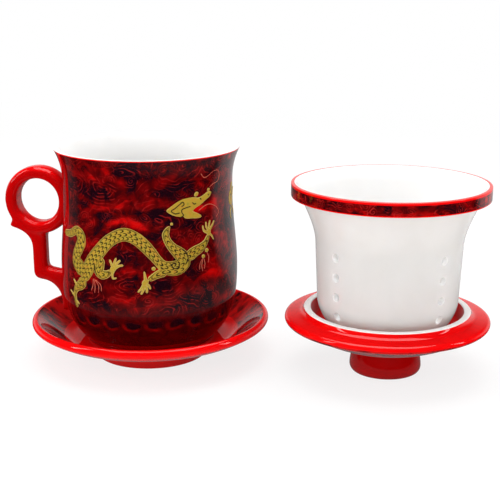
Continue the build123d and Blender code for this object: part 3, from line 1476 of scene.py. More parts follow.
@dataclass
class Handle:
    """Ring handle with a spur, an arm and a tail, soft with glaze."""

    mug: Mug
    voxel: float = 0.45
    passes: int = 36
    reach_in: float = 1.3
    root_reach: float = 1.0
    root_fade: float = 0.8
    weld_distance: float = 2e-6

    def soft_points(self, mesh: bpy.types.Mesh) -> Array:
        """Points of a mesh, softened.

        Each moves half way to its neighbours' mean, some times over. All then move out
        along their normals by what they lost on the average.

        Args:
            mesh: The mesh, which takes the points before they move out.

        Returns:
            The points.
        """
        points = np.empty(len(mesh.vertices) * 3)
        mesh.vertices.foreach_get("co", points)
        points = points.reshape(-1, 3)
        edges = np.empty(len(mesh.edges) * 2, int)
        mesh.edges.foreach_get("vertices", edges)
        a, b = edges.reshape(-1, 2).T
        count = np.bincount(edges, minlength=len(points))[:, None]
        normals = np.empty(len(mesh.vertices) * 3)
        mesh.vertices.foreach_get("normal", normals)
        sharp = points
        for _ in range(self.passes):
            total = np.zeros_like(points)
            np.add.at(total, a, points[b])
            np.add.at(total, b, points[a])
            points = (points + total / count) / 2
        lost = ((sharp - points) * normals.reshape(-1, 3)).sum(axis=1).mean()
        mesh.vertices.foreach_set("co", points.astype(np.float32).ravel())
        mesh.update()
        mesh.vertices.foreach_get("normal", normals)
        return points + lost * normals.reshape(-1, 3)

    def rooted(self, points: Array) -> Array:
        """Points with those at the wall moved into it, so that no gap shows, and none through it.

        Args:
            points: The handle's points, in metres.

        Returns:
            The points after the move.
        """
        wall = self.mug.outside()
        axis = np.array(axis_of("mug_body"))
        flat = (points[:, :2] - axis[:2]) / MM
        reach = np.hypot(*flat.T)
        height = points[:, 2] / MM - self.mug.foot_z()
        skin = np.interp(height, wall[:, 1], wall[:, 0])
        near = np.clip((self.root_reach - (reach - skin)) / self.root_fade, 0, 1)
        kept = np.maximum(reach - near * self.reach_in, skin - self.reach_in)
        moved = points.copy()
        moved[:, :2] = axis[:2] + flat * (kept / reach)[:, None] * MM
        return moved

    def build(self, glaze: Coat) -> Piece:
        """Take a merged copy of the solid's surface, soften it and root it in the wall.

        Args:
            glaze: Glaze of the handle.

        Returns:
            The dressed handle.
        """
        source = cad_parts["mug_handle"].data.copy()
        weld(source, self.weld_distance)
        source.materials.clear()
        handle = put_in_scene("mug_handle_glazed", source)
        remesh = handle.modifiers.new("skin", "REMESH")
        remesh.mode = "VOXEL"
        remesh.voxel_size = self.voxel * MM
        graph = bpy.context.evaluated_depsgraph_get()
        skin = bpy.data.meshes.new_from_object(handle.evaluated_get(graph))
        handle.modifiers.clear()
        handle.data = skin
        points = self.rooted(self.soft_points(skin))
        skin.vertices.foreach_set("co", points.astype(np.float32).ravel())
        skin.materials.clear()
        skin.update()
        finish_skin(skin, [glaze])
        return handle


@dataclass
class Strainer:
    """Lift-out basket with a printed flange and rows of drain holes."""

    height: float = 68.0
    flange_r: float = 43.8
    flange_height: float = 6.1
    flange_lip: float = 2.0
    flange_slope: float = 55.0
    neck_top_r: float = 39.7
    neck_slope: float = 66.0
    neck_drop: float = 27.0
    neck_r: float = 32.7
    basket_r: float = 31.6
    basket_z: float = 16.0
    bowl_slope: float = 15.0
    base_r: float = 20.0
    wall: float = 2.2
    floor: float = 2.6
    drain_r: float = 1.8
    drain_columns: int = 4
    drain_rows: int = 4
    drain_first_z: float = 12.4
    drain_pitch: float = 8.85
    drain_turn: float = 38.7
    softness: float = 0.34
    steps: int = 256
    print_low: float = 0.6
    print_drop: float = 1.1
    base_drain_circle: float = 11.0
    pitch_cells: int = 12
    block: int = 4
    base_block: Tuple[int, int] = (16, 4)
    base_cell: float = 0.95
    hole_ease: float = 0.30
    edge_shares: Tuple[float, ...] = (0.0, 0.35, 0.7)
    edge_turns: Tuple[float, ...] = (0.0, 30.0, 60.0, 90.0)
    outer_rings: int = 4
    row_gap: float = 0.3
    base_soft: Pair = (4.0, 1.0)
    floor_soft: Pair = (3.0, 0.5)
    flange_inset: float = 1.2

    def side(self, inset: float, floor_z: float, floor_r: float, mouth_r: Optional[float] = None) -> Array:
        """Wall line from the floor up to the neck's top, or on to the mouth.

        Args:
            inset: Distance in from the outside.
            floor_z: Height of the floor.
            floor_r: Radius of its flat part.
            mouth_r: Radius of the mouth, where the line goes on to it.

        Returns:
            Points of the line.
        """
        flange_z = self.height - self.flange_height
        basket = (self.basket_r - inset, self.basket_z)
        neck_low = (self.neck_r - inset, self.height - self.neck_drop)
        neck_top = (self.neck_top_r - inset, flange_z)
        upright = np.subtract(neck_low, basket)
        lines = [
            straight((0, floor_z), (floor_r, floor_z)),
            flowing([(floor_r, floor_z), basket], climb(self.bowl_slope), upright),
            flowing([neck_low, neck_top], upright, climb(self.neck_slope)),
        ]
        if mouth_r is not None:
            mouth = (mouth_r, self.height)
            lines.append(flowing([neck_top, mouth], climb(self.neck_slope), climb(self.flange_slope)))
        return np.concatenate(lines)

    def outline(self) -> Array:
        """Base, outside, flange, mouth and inside.

        Returns:
            Points of the softened outline.
        """
        flange_z = self.height - self.flange_height
        mouth_r = self.flange_r - self.flange_lip
        outside = self.side(0.0, 0.0, self.base_r)
        inside = self.side(self.wall, self.floor, self.base_r - self.wall / 2, mouth_r)
        flange = straight((self.flange_r, flange_z), (self.flange_r, self.height))
        return softened([outside, flange, inside[::-1]], self.softness)

    def wall_radius(self, outline: Array, heights: Array, inner: bool) -> Array:
        """Radius of the outer or the inner wall at some heights.

        Args:
            outline: The softened outline.
            heights: Heights over the base.
            inner: Whether the inner wall is meant.

        Returns:
            Radii.
        """
        top = int(np.argmax(outline[:, 1]))
        side = outline[top:][::-1] if inner else outline[: top + 1]
        level = np.concatenate([[False], np.diff(side[:, 1]) <= LEVEL])
        return np.interp(heights, side[~level, 1], side[~level, 0])

    def drain_shape(self, columns: int, rows: int, cell: Pair, depth: float) -> Tuple[Array, ...]:
        """Flat shape of one drilled hole, from a block's edge through to the other face.

        The rings run from the block's edge to a circle, over a quarter-round edge, down
        the bore and out again the same way.

        Args:
            columns: Half the block's columns.
            rows: Half its rows.
            cell: Width and height of a cell.
            depth: Thickness that the hole goes through.

        Returns:
            Sideways and upright places, and the share of the depth, for each ring.
        """
        sideways = (
            np.full(rows, columns),
            np.arange(columns, -columns, -1),
            np.full(2 * rows, -columns),
            np.arange(-columns, columns),
            np.full(rows + 1, columns),
        )
        upright = (
            np.arange(rows),
            np.full(2 * columns, rows),
            np.arange(rows, -rows, -1),
            np.full(2 * columns, -rows),
            np.arange(-rows, 1),
        )
        edge_x, edge_y = np.concatenate(sideways) * cell[0], np.concatenate(upright) * cell[1]
        bearing = np.arctan2(edge_y, edge_x)
        turn = np.radians(self.edge_turns)
        flat = len(self.edge_shares)
        share = np.concatenate([self.edge_shares, np.ones(len(turn))])
        ring = self.drain_r + self.hole_ease * np.concatenate([np.ones(flat), 1 - np.sin(turn)])
        sunk = self.hole_ease / depth * np.concatenate([np.zeros(flat), 1 - np.cos(turn)])
        share = np.concatenate([share, share[::-1]])[:, None]
        ring = np.concatenate([ring, ring[::-1]])[:, None]
        sunk = np.concatenate([sunk, 1 - sunk[::-1]])[:, None]
        x = (1 - share) * edge_x + share * ring * np.cos(bearing)
        y = (1 - share) * edge_y + share * ring * np.sin(bearing)
        return x, y, np.broadcast_to(sunk, x.shape)

    def drain_coat(self, rings: int) -> Array:
        """Finish of each row of a drain's faces: outside white first, then inside white."""
        outer = np.arange(rings - 1) < self.outer_rings
        return np.where(outer, Coating.PLAIN, Coating.INNER)[:, None]

    def wall_drain(self, outline: Array, angle: float, height: float) -> Grid:
        """One drain hole through the side wall.

        Args:
            outline: The softened outline.
            angle: Angle of its middle, in radians.
            height: Height of its middle.

        Returns:
            The hole.
        """
        step = TAU / self.steps
        mean_r = float(self.wall_radius(outline, np.array([height]), False)[0])
        cell = (step * mean_r, self.drain_pitch / self.pitch_cells)
        x, y, sunk = self.drain_shape(self.block, self.block, cell, self.wall)
        z = height + y
        outer, inner = self.wall_radius(outline, z, False), self.wall_radius(outline, z, True)
        points = lathe_points(outer + (inner - outer) * sunk, z, angle + x / mean_r)
        return new_grid(points, np.stack([x, z], axis=-1), finish=self.drain_coat(len(x)))

    def base_drain(self, angle: float) -> Grid:
        """One drain hole through the base.

        Args:
            angle: Angle of its middle, in radians.

        Returns:
            The hole.
        """
        step = TAU / self.steps
        cell = (step * self.base_drain_circle, self.base_cell)
        x, y, sunk = self.drain_shape(*self.base_block, cell, self.floor)
        radius = self.base_drain_circle + y
        points = lathe_points(radius, self.floor * sunk, angle + x / self.base_drain_circle)
        return new_grid(points, np.stack([x, y], axis=-1), finish=self.drain_coat(len(x)))

    def drilled_outline(self, outline: Array) -> Tuple[Array, Array, Array]:
        """Outline with even rows where the drain holes come.

        Args:
            outline: The softened outline.

        Returns:
            The new outline, the row of each wall hole's middle outside and inside, and
            the row of the base holes' middle outside and inside.
        """
        wall_cells = self.drain_rows * self.pitch_cells
        low_z = self.drain_first_z - self.drain_pitch / 2
        heights = low_z + np.linspace(0, self.drain_rows * self.drain_pitch, wall_cells + 1)
        outer = np.stack([self.wall_radius(outline, heights, False), heights], axis=1)
        inner = np.stack([self.wall_radius(outline, heights, True), heights], axis=1)[::-1]
        half = self.base_block[1] + 1
        radii = self.base_drain_circle + self.base_cell * np.arange(-half, half + 1)
        under = np.stack([radii, np.zeros_like(radii)], axis=1)
        floor = np.stack([radii[::-1], np.full_like(radii, self.floor)], axis=1)
        top = int(np.argmax(outline[:, 1]))
        out, back = outline[:top], outline[top:]
        edge, inner_soft_z = radii[-1], self.floor + self.floor_soft[1]
        lowest, highest = heights[0] - self.row_gap, heights[-1] + self.row_gap
        soft_out = (out[:, 1] < self.base_soft[1]) & (out[:, 0] < edge + self.base_soft[0])
        soft_back = (back[:, 1] < inner_soft_z) & (back[:, 0] < edge + self.floor_soft[0])
        runs = [
            np.zeros((1, 2)),
            under,
            out[~soft_out & (out[:, 1] < lowest) & (out[:, 0] > edge + self.row_gap)],
            outer,
            out[out[:, 1] > highest],
            back[back[:, 1] > highest],
            inner,
            back[~soft_back & (back[:, 1] < lowest) & (back[:, 0] > edge + self.row_gap)],
            floor,
            np.array([[0.0, self.floor]]),
        ]
        starts = np.cumsum([0] + [len(run) for run in runs])
        middle = self.pitch_cells // 2 + self.pitch_cells * np.arange(self.drain_rows)
        wall_rows = np.stack([starts[3] + middle, starts[6] + wall_cells - middle])
        base_rows = np.array([starts[1] + half, starts[8] + half])
        return np.concatenate(runs), wall_rows, base_rows

    def drains(self, grid: Grid, smooth: Array, wall_rows: Array, base_rows: Array) -> List[Grid]:
        """Make the drain holes, and drop the faces of the basket in their place.

        Args:
            grid: The basket.
            smooth: The softened outline.
            wall_rows: Row of each wall hole's middle outside and inside.
            base_rows: Row of the base holes' middle outside and inside.

        Returns:
            The holes.
        """
        numbers = np.arange(self.drain_columns)
        angles = math.radians(self.drain_turn) + TAU * numbers / self.drain_columns
        between = self.steps // self.drain_columns
        heights = self.drain_first_z + self.drain_pitch * np.arange(self.drain_rows)
        wide, tall = self.base_block
        holes = []
        for angle, column in zip(angles, between * numbers + between // 2):
            for height, sides in zip(heights, wall_rows.T):
                holes.append(self.wall_drain(smooth, angle, height))
                for side in sides:
                    grid.cut_out(side, column, self.block, self.block)
            holes.append(self.base_drain(angle))
            for side in base_rows:
                grid.cut_out(side, column, tall, wide)
        return holes

    def build(self, glaze: ScrollPrint, outer: Coat, inner: Coat) -> Piece:
        """Sweep the outline round, drill it and print the flange.

        Args:
            glaze: Print of the flange.
            outer: White of the outside, painted darker than the inside's white as shade.
            inner: White of the inside.

        Returns:
            The dressed strainer.
        """
        smooth = self.outline()
        outline, wall_rows, base_rows = self.drilled_outline(smooth)
        turn = math.radians(self.drain_turn)
        grid = lathe(outline, self.steps, turn - TAU / self.drain_columns / 2)
        grids = [grid, *self.drains(grid, smooth, wall_rows, base_rows)]
        radius, height = outline.T
        rows, top_row = np.arange(len(outline)), np.argmax(height)
        red_rows = (rows <= top_row) & (radius > self.neck_top_r + self.flange_inset)
        from_below = height - (self.height - self.flange_height) - self.print_low
        grid.print_rows(red_rows, np.minimum(from_below, self.height - self.print_drop - height))
        white = np.where(rows < top_row, Coating.PLAIN, Coating.INNER)
        grid.dress_rows(np.where(red_rows, Coating.PRINT, white)[:-1])
        grid.read_upright(self.flange_r)
        base_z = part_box("strainer")[0].z / MM
        for part in grids:
            part.raise_by(base_z)
        return make_piece("strainer_glazed", grids, [glaze.material(), outer, inner], axis_of("strainer"))


@dataclass
class Lid:
    """Lid turned over: printed dome below, red brim and a bare locating ring above."""

    radius: float = 46.1
    crown_z: float = 13.6
    rim_z: float = 24.6
    rim_thickness: float = 3.4
    brim_slope: float = 8.0
    dome_slope: float = 24.0
    ring_r: float = 37.3
    ring_width: float = 3.0
    ring_top_z: float = 29.4
    ring_foot: float = 2.4
    ring_foot_z: float = 26.9
    dish_z: float = 22.2
    dish_draft: float = 0.8
    crown_r: float = 19.0
    floor_z: float = 18.6
    seat_r: float = 22.0
    knob_neck_r: float = 14.6
    knob_end_r: float = 16.2
    knob_end_z: float = 2.4
    knob_face_r: float = 15.0
    knob_recess_r: float = 9.5
    knob_recess_depth: float = 3.0
    print_from: float = 17.5
    print_margin: float = 0.3
    bare_inset: float = 0.35
    softness: float = 0.34
    steps: int = 256

    def outline(self) -> Array:
        """Dome, rim, brim, ring and dish.

        Returns:
            Points of the softened outline.
        """
        rim = half_round(self.radius, self.rim_z, self.rim_thickness, -self.brim_slope)
        ring_in = self.ring_r - self.ring_width
        ring_foot = (self.ring_r + self.ring_foot, self.ring_foot_z)
        ring_top = (self.ring_r, self.ring_top_z)
        dish = (ring_in - self.dish_draft, self.dish_z)
        seat = (self.seat_r, self.floor_z)
        runs = [
            straight((0, self.crown_z), (self.crown_r, self.crown_z)),
            flowing([(self.crown_r, self.crown_z), tuple(rim[0])], (1, 0), climb(self.dome_slope)),
            rim,
            tangent_arc(ring_foot, ring_top, tuple(-climb(-self.brim_slope))),
            straight((ring_in, self.ring_top_z)),
            flowing([dish, seat], -climb(self.dome_slope), (-1, 0)),
            straight((0, self.floor_z)),
        ]
        return softened(runs, self.softness)

    def build_cover(self, glaze: ScrollPrint, bare: Coat, dish: Coat) -> Piece:
        """Sweep the outline round, print the dome and leave the ring's edge bare.

        Args:
            glaze: Print of the dome and glaze of the brim.
            bare: Clay of the ring's edge.
            dish: Glaze inside the ring.

        Returns:
            The dressed lid.
        """
        outline = self.outline()
        grid = lathe(outline, self.steps, math.pi)
        rows, rim_row = np.arange(len(outline)), np.argmax(outline[:, 0])
        along = distance_along(outline)
        band = np.minimum(outline[:, 0] - self.print_from, along[rim_row] - along - self.print_margin)
        grid.print_rows(rows < rim_row, band)
        bare_rows = outline[:-1, 1] > self.ring_top_z - self.bare_inset
        dish_rows = rows[:-1] > np.flatnonzero(bare_rows)[-1]
        coat = np.where(bare_rows, Coating.PLAIN, Coating.PRINT)
        grid.dress_rows(np.where(dish_rows, Coating.INNER, coat))
        grid.read_flat(outline, self.ring_r)
        return make_piece("lid_glazed", [grid], [glaze.material(), bare, dish], axis_of("lid_cover"))

    def build_knob(self, glaze: Coat) -> Piece:
        """Sweep the knob's recess, face, side and neck round.

        Args:
            glaze: Glaze of the knob.

        Returns:
            The dressed knob.
        """
        runs = [
            straight((0, self.knob_recess_depth), (self.knob_recess_r, self.knob_recess_depth)),
            straight((self.knob_recess_r, 0), (self.knob_face_r, 0)),
            tangent_arc((self.knob_end_r, self.knob_end_z), (self.knob_face_r, 0), (0, -1))[::-1],
            flowing([(self.knob_end_r, self.knob_end_z), (self.knob_neck_r, self.crown_z)], (0, 1), (0, 1)),
            straight((0, self.crown_z)),
        ]
        grid = lathe(softened(runs, self.softness), self.steps, math.pi)
        return make_piece("lid_knob_glazed", [grid], [glaze], axis_of("lid_knob"))


# Gilt dragon on the mug


def smooth_path(places: Array, step: float, least: int = 8) -> Array:
    """Smooth path through places, at even steps.

    Each span is a cubic, and the slope at a place comes from its neighbours.

    Args:
        places: (arc, height, half width) rows.
        step: Distance between points.
        least: Least number of steps.

    Returns:
        Points along the path.
    """
    span = np.hypot(*np.diff(places[:, :2], axis=0).T)
    knots = distance_along(places[:, :2])
    slopes = np.gradient(places, knots, axis=0)
    t = np.linspace(0, knots[-1], max(int(knots[-1] / step), least) + 1)
    i = np.clip(np.searchsorted(knots, t, "right") - 1, 0, len(span) - 1)
    pull = span[i][:, None]
    share = (t - knots[i]) / span[i]
    return hermite(share, places[i], places[i + 1], slopes[i] * pull, slopes[i + 1] * pull)


@dataclass
class Dragon:
    """Gilt dragon that winds across the front of the mug.

    Its strokes are places on the wall: millimetres round from the front at the radius
    of the print, millimetres above the mug's foot, and half the stroke's width.
    """

    mug: Mug
    step: float = 0.4
    lift: float = 0.10
    layer: float = 0.02
    sink: float = 0.06
    back: float = 0.25
    line_half: float = 0.30
    whisker_half: float = 0.17
    least_half: float = 0.05
    layers: int = 4
    ribs: int = 9
    crown: int = 6
    scaled: Gilding = Gilding("gilt_scales", True)
    plain: Gilding = Gilding("gilt_plain", False)
    dark: Ink = Ink("dark_line", (0.022, 0.012, 0.006), (0.05, 0.03, 0.01))
    rose: Ink = Ink("rose_line", (0.50, 0.115, 0.065), (0.40, 0.055, 0.04))
    body: Tuple[Stroke, ...] = (
        (
            (-46.0, 53.0, 1.4), (-38.8, 54.0, 1.9), (-33.2, 56.0, 2.4), (-30.9, 54.6, 3.0),
            (-30.0, 51.9, 3.2),
            (-31.4, 48.9, 3.2), (-33.3, 44.7, 3.2), (-32.8, 42.3, 3.7), (-30.8, 40.4, 3.9),
            (-27.5, 37.7, 3.6),
        ),
        (
            (-28.6, 34.6, 2.6), (-26.0, 39.2, 3.4), (-22.7, 44.6, 3.6), (-19.3, 48.9, 3.4),
            (-16.6, 52.0, 3.2),
            (-12.1, 55.6, 3.0), (-6.9, 57.3, 3.1), (-2.3, 55.8, 3.0), (1.6, 52.6, 2.9), (4.7, 49.1, 2.6),
            (7.2, 45.9, 2.3), (9.0, 43.9, 2.5), (11.8, 42.4, 3.3), (16.2, 42.4, 3.6), (19.0, 44.6, 3.2),
            (18.0, 46.9, 3.3), (16.2, 48.9, 2.9), (14.0, 51.0, 2.3), (11.7, 54.4, 1.8), (11.0, 57.3, 1.7),
            (11.9, 59.2, 1.2), (13.0, 60.6, 0.5),
        ),
    )
    limbs: Tuple[Stroke, ...] = (
        (
            (-28.0, 35.6, 3.0), (-29.5, 32.9, 2.7), (-33.5, 29.9, 1.8), (-35.1, 27.0, 1.3),
            (-35.0, 24.2, 1.2), (-34.4, 20.6, 1.1),
        ),
        (
            (-17.6, 46.4, 1.6), (-18.7, 42.5, 2.3), (-19.3, 40.0, 2.5), (-17.6, 39.0, 2.4),
            (-15.3, 39.4, 1.8), (-13.0, 41.2, 1.0),
        ),
        ((11.0, 41.0, 2.2), (7.9, 40.2, 2.0), (5.6, 39.1, 1.6), (3.0, 37.5, 1.1)),
        ((20.2, 45.8, 2.8), (23.9, 48.1, 2.6), (27.5, 49.5, 2.2), (30.6, 51.8, 1.4), (32.3, 54.4, 1.1)),
    )
    claws: Tuple[Stroke, ...] = (
        ((-13.6, 40.8, 0.9), (-12.2, 42.2, 1.4), (-11.4, 43.6, 1.0)),
        ((-12.4, 42.6, 0.8), (-13.2, 44.4, 0.6), (-14.0, 46.0, 0.45)),
        ((-11.9, 43.0, 0.8), (-11.6, 45.0, 0.6), (-10.9, 47.0, 0.45)),
        ((-11.5, 42.8, 0.8), (-10.4, 44.7, 0.6), (-8.9, 46.1, 0.5)),
        ((-11.5, 42.2, 0.8), (-9.8, 43.4, 0.6), (-7.6, 43.9, 0.5)),
        ((-12.0, 41.8, 0.9), (-12.7, 39.4, 0.6), (-12.4, 37.8, 0.5), (-10.6, 38.1, 0.35)),
        ((3.1, 37.6, 0.9), (1.6, 36.5, 1.3), (1.0, 34.9, 1.1)),
        ((1.9, 37.0, 0.9), (1.6, 39.2, 0.6), (1.3, 41.4, 0.35)),
        ((1.2, 35.8, 0.8), (0.0, 33.8, 0.6), (-1.6, 32.0, 0.45)),
        ((1.3, 35.4, 0.8), (0.7, 33.0, 0.6), (-0.3, 31.0, 0.5)),
        ((1.6, 35.4, 0.8), (2.2, 33.4, 0.6), (2.2, 31.6, 0.5)),
        ((2.0, 36.0, 0.8), (3.2, 34.8, 0.6), (3.8, 33.3, 0.45)),
        ((32.1, 54.0, 1.0), (32.7, 55.9, 1.4), (33.0, 57.2, 1.1)),
        ((32.3, 55.5, 0.8), (29.9, 56.7, 0.6), (29.2, 59.2, 0.4)),
        ((32.5, 56.6, 0.8), (31.3, 58.4, 0.55), (31.3, 60.5, 0.4)),
        ((33.0, 57.0, 0.8), (33.2, 59.0, 0.55), (33.9, 60.8, 0.4)),
        ((33.3, 56.6, 0.8), (35.2, 58.4, 0.55), (36.6, 60.2, 0.4)),
        ((33.0, 55.0, 0.7), (34.4, 53.6, 0.5), (35.3, 51.8, 0.3)),
        ((-32.6, 31.4, 1.0), (-34.2, 32.6, 0.6), (-35.2, 34.0, 0.25)),
        ((-35.0, 25.6, 0.9), (-37.0, 26.8, 0.5), (-38.8, 28.0, 0.2)),
        ((-35.0, 23.8, 0.9), (-33.4, 23.4, 0.6), (-32.2, 22.6, 0.3)),
    )
    head: Tuple[Stroke, ...] = (
        (
            (11.6, 67.4, 0.4), (14.9, 67.4, 2.6), (17.7, 67.7, 3.8), (20.9, 68.3, 4.2), (24.4, 69.6, 3.0),
            (27.5, 70.0, 2.0), (31.2, 71.5, 1.5), (33.6, 72.6, 1.4), (35.0, 73.2, 0.9),
        ),
        ((19.4, 65.8, 2.4), (22.6, 64.9, 2.0), (24.5, 64.4, 1.6), (26.6, 63.8, 1.2), (28.8, 63.2, 0.6)),
        ((25.2, 72.6, 0.7), (26.3, 73.5, 1.0), (27.3, 74.0, 0.7)),
        ((32.6, 74.0, 0.7), (34.0, 75.0, 0.7)),
    )
    spots: Tuple[Place, ...] = (
        (13.8, 61.5, 0.7), (30.6, 47.9, 1.0), (28.5, 45.5, 0.9), (5.3, 42.5, 0.9), (56.0, 65.5, 2.6),
    )
    flames: Tuple[Stroke, ...] = (
        ((53.6, 64.0, 0.5), (52.4, 67.0, 0.7), (53.4, 70.5, 0.2)),
        ((55.0, 68.4, 0.6), (55.2, 71.2, 0.6), (56.8, 74.0, 0.2)),
        ((58.4, 67.2, 0.5), (59.6, 69.4, 0.6), (61.6, 71.0, 0.2)),
        ((54.8, 62.8, 0.5), (53.0, 60.4, 0.5), (53.4, 57.6, 0.2)),
        ((57.6, 62.8, 0.5), (59.6, 61.0, 0.5), (60.2, 58.4, 0.2)),
    )
    lines: Tuple[Line, ...] = (
        (
            (18.5, 68.6), (19.9, 69.7), (19.4, 70.6), (17.7, 69.7),
            (15.4, 68.1), (13.8, 67.2), (15.4, 65.9), (18.0, 66.1),
        ),
        ((23.2, 68.4), (20.3, 67.9), (18.7, 67.2), (18.7, 66.2), (19.5, 64.9), (18.2, 63.9)),
        ((24.0, 70.2), (24.9, 69.2), (26.0, 69.4)),
        ((28.2, 71.6), (28.8, 70.6)),
        ((32.8, 72.8), (33.4, 71.9)),
        (
            (14.4, 43.2), (15.1, 43.9), (14.2, 44.5), (13.2, 43.5),
            (13.8, 42.2), (15.6, 42.0), (16.6, 43.5), (15.9, 45.2),
        ),
        ((18.0, 50.2), (20.2, 48.0), (20.6, 45.4), (19.2, 43.2)),
        ((-21.6, 42.9), (-21.2, 40.4), (-20.0, 38.2)),
        ((9.6, 42.4), (8.2, 42.6)),
    )
    whiskers: Tuple[Line, ...] = (
        (
            (33.9, 75.4), (36.3, 76.6), (39.8, 77.6), (40.6, 79.8),
            (38.5, 82.6), (35.4, 82.3), (32.5, 80.7), (30.5, 80.3),
            (28.2, 82.3),
        ),
        ((27.2, 65.9), (29.8, 67.2), (32.7, 68.0), (36.4, 67.2), (39.0, 65.6), (40.4, 63.4), (38.1, 61.4)),
        ((-22.3, 36.5), (-22.6, 33.4), (-23.6, 30.8)),
        ((-22.0, 36.5), (-21.4, 33.2), (-21.8, 29.9)),
        ((-21.6, 36.3), (-19.6, 33.6), (-19.8, 30.2)),
        ((-21.2, 36.2), (-18.4, 34.0), (-18.2, 31.2)),
        ((28.2, 44.8), (26.6, 42.6), (26.2, 39.8)),
        ((28.4, 44.6), (27.4, 41.8), (27.8, 38.8)),
        ((28.8, 44.6), (29.2, 42.2), (28.6, 39.8)),
        ((30.8, 47.0), (31.6, 44.6), (31.0, 42.2)),
    )

    def ribbon(self, places: Sequence[Place], layer: int) -> Grid:
        """Thin closed ribbon that lies on the wall along one stroke.

        Its middle stands a little proud and its edges dip into the wall. Its ends are
        round: near an end the width follows a circle.

        Args:
            places: The stroke.
            layer: How many strokes it lies over.

        Returns:
            The ribbon, with millimetres along and across as its texture place.
        """
        path = smooth_path(np.array(places, float), self.step)
        centre, half = path[:, :2], np.maximum(path[:, 2], self.least_half)
        along = distance_along(centre)
        ahead = np.gradient(centre, along, axis=0)
        ahead /= np.hypot(*ahead.T)[:, None]
        right = np.stack([ahead[:, 1], -ahead[:, 0]], axis=1)
        left_over = np.clip(np.minimum(along, along[-1] - along) / half, 0, 1)
        width = (half * np.sqrt(1 - (1 - left_over) ** 2))[:, None]
        over = np.linspace(-1, 1, self.ribs)
        across = np.concatenate([over, [1.0, 0.0, -1.0], over[:1]])
        top = self.lift + layer * self.layer
        crown = top - (top + self.sink) * over ** self.crown
        stand = np.concatenate([crown, np.full(3, -self.back), [-self.sink]])
        spot = centre[:, None, :] + right[:, None, :] * (width * across)[..., None]
        wall = self.mug.outside()
        radius = np.interp(spot[..., 1], wall[:, 1], wall[:, 0]) + stand
        points = lathe_points(radius, spot[..., 1], spot[..., 0] / self.mug.arc_r)
        points[..., 2] += self.mug.foot_z()
        uv = np.stack(np.broadcast_arrays(along[:, None], width * across), axis=-1)
        return new_grid(points, uv, width * (1 - np.abs(across)), 0)

    def piece(self, name: str, strokes: Sequence[Sequence[Place]], finish: Coat, first: int) -> Piece:
        """One object of strokes, laid over each other in a few layers.

        Args:
            name: The object's name.
            strokes: Strokes, from the lowest up.
            finish: Material of all of them.
            first: Layer of the lowest stroke.

        Returns:
            The object.
        """
        grids = [self.ribbon(stroke, first + number % self.layers) for number, stroke in enumerate(strokes)]
        return make_piece(name, grids, [finish], axis_of("mug_body"))

    def fine(self, lines: Sequence[Line], half: float) -> List[List[Place]]:
        """Strokes of one half width along some lines."""
        return [[(arc, height, half) for arc, height in line] for line in lines]

    def build(self) -> List[Piece]:
        """Lay the strokes on the wall, piece by piece.

        Returns:
            The dragon's pieces.
        """
        finishes = (self.scaled, self.plain, self.dark, self.rose)
        scaled, plain, dark, rose = [finish.material() for finish in finishes]
        dots = [((x - half, z, half), (x + half, z, half)) for x, z, half in self.spots]
        return [
            self.piece("dragon_whiskers", self.fine(self.whiskers, self.whisker_half), rose, Layer.WHISKERS),
            self.piece("dragon_body", self.body, scaled, Layer.BODY),
            self.piece("dragon_limbs", self.limbs, scaled, Layer.LIMBS),
            self.piece("dragon_claws", self.claws, plain, Layer.CLAWS),
            self.piece("dragon_head", self.head, plain, Layer.HEAD),
            self.piece("dragon_pearls", dots + list(self.flames), plain, Layer.PEARLS),
            self.piece("dragon_lines", self.fine(self.lines, self.line_half), dark, Layer.LINES),
        ]


# Stage


@dataclass(frozen=True)
class Lamp:
    """Soft box that faces the middle of the set, in metres and watts."""

    name: str
    place: Place
    size: Pair
    power: float
    mirrored: bool = True
    aim: Place = (0.0, 0.0, 0.05)

    def build(self) -> None:
        """Add the lamp, turned towards its aim."""
        data = bpy.data.lights.new(self.name, "AREA")
        data.shape = "RECTANGLE"
        data.size, data.size_y = self.size
        data.energy = self.power
        lamp = put_in_scene(self.name, data)
        lamp.location = self.place
        lamp.visible_glossy = self.mirrored
        ahead = np.subtract(self.aim, self.place)
        tilt = math.atan2(ahead[2], math.hypot(ahead[0], ahead[1]))
        bearing = math.atan2(ahead[1], ahead[0])
        lamp.rotation_euler = (math.pi / 2 + tilt, 0.0, bearing - math.pi / 2)


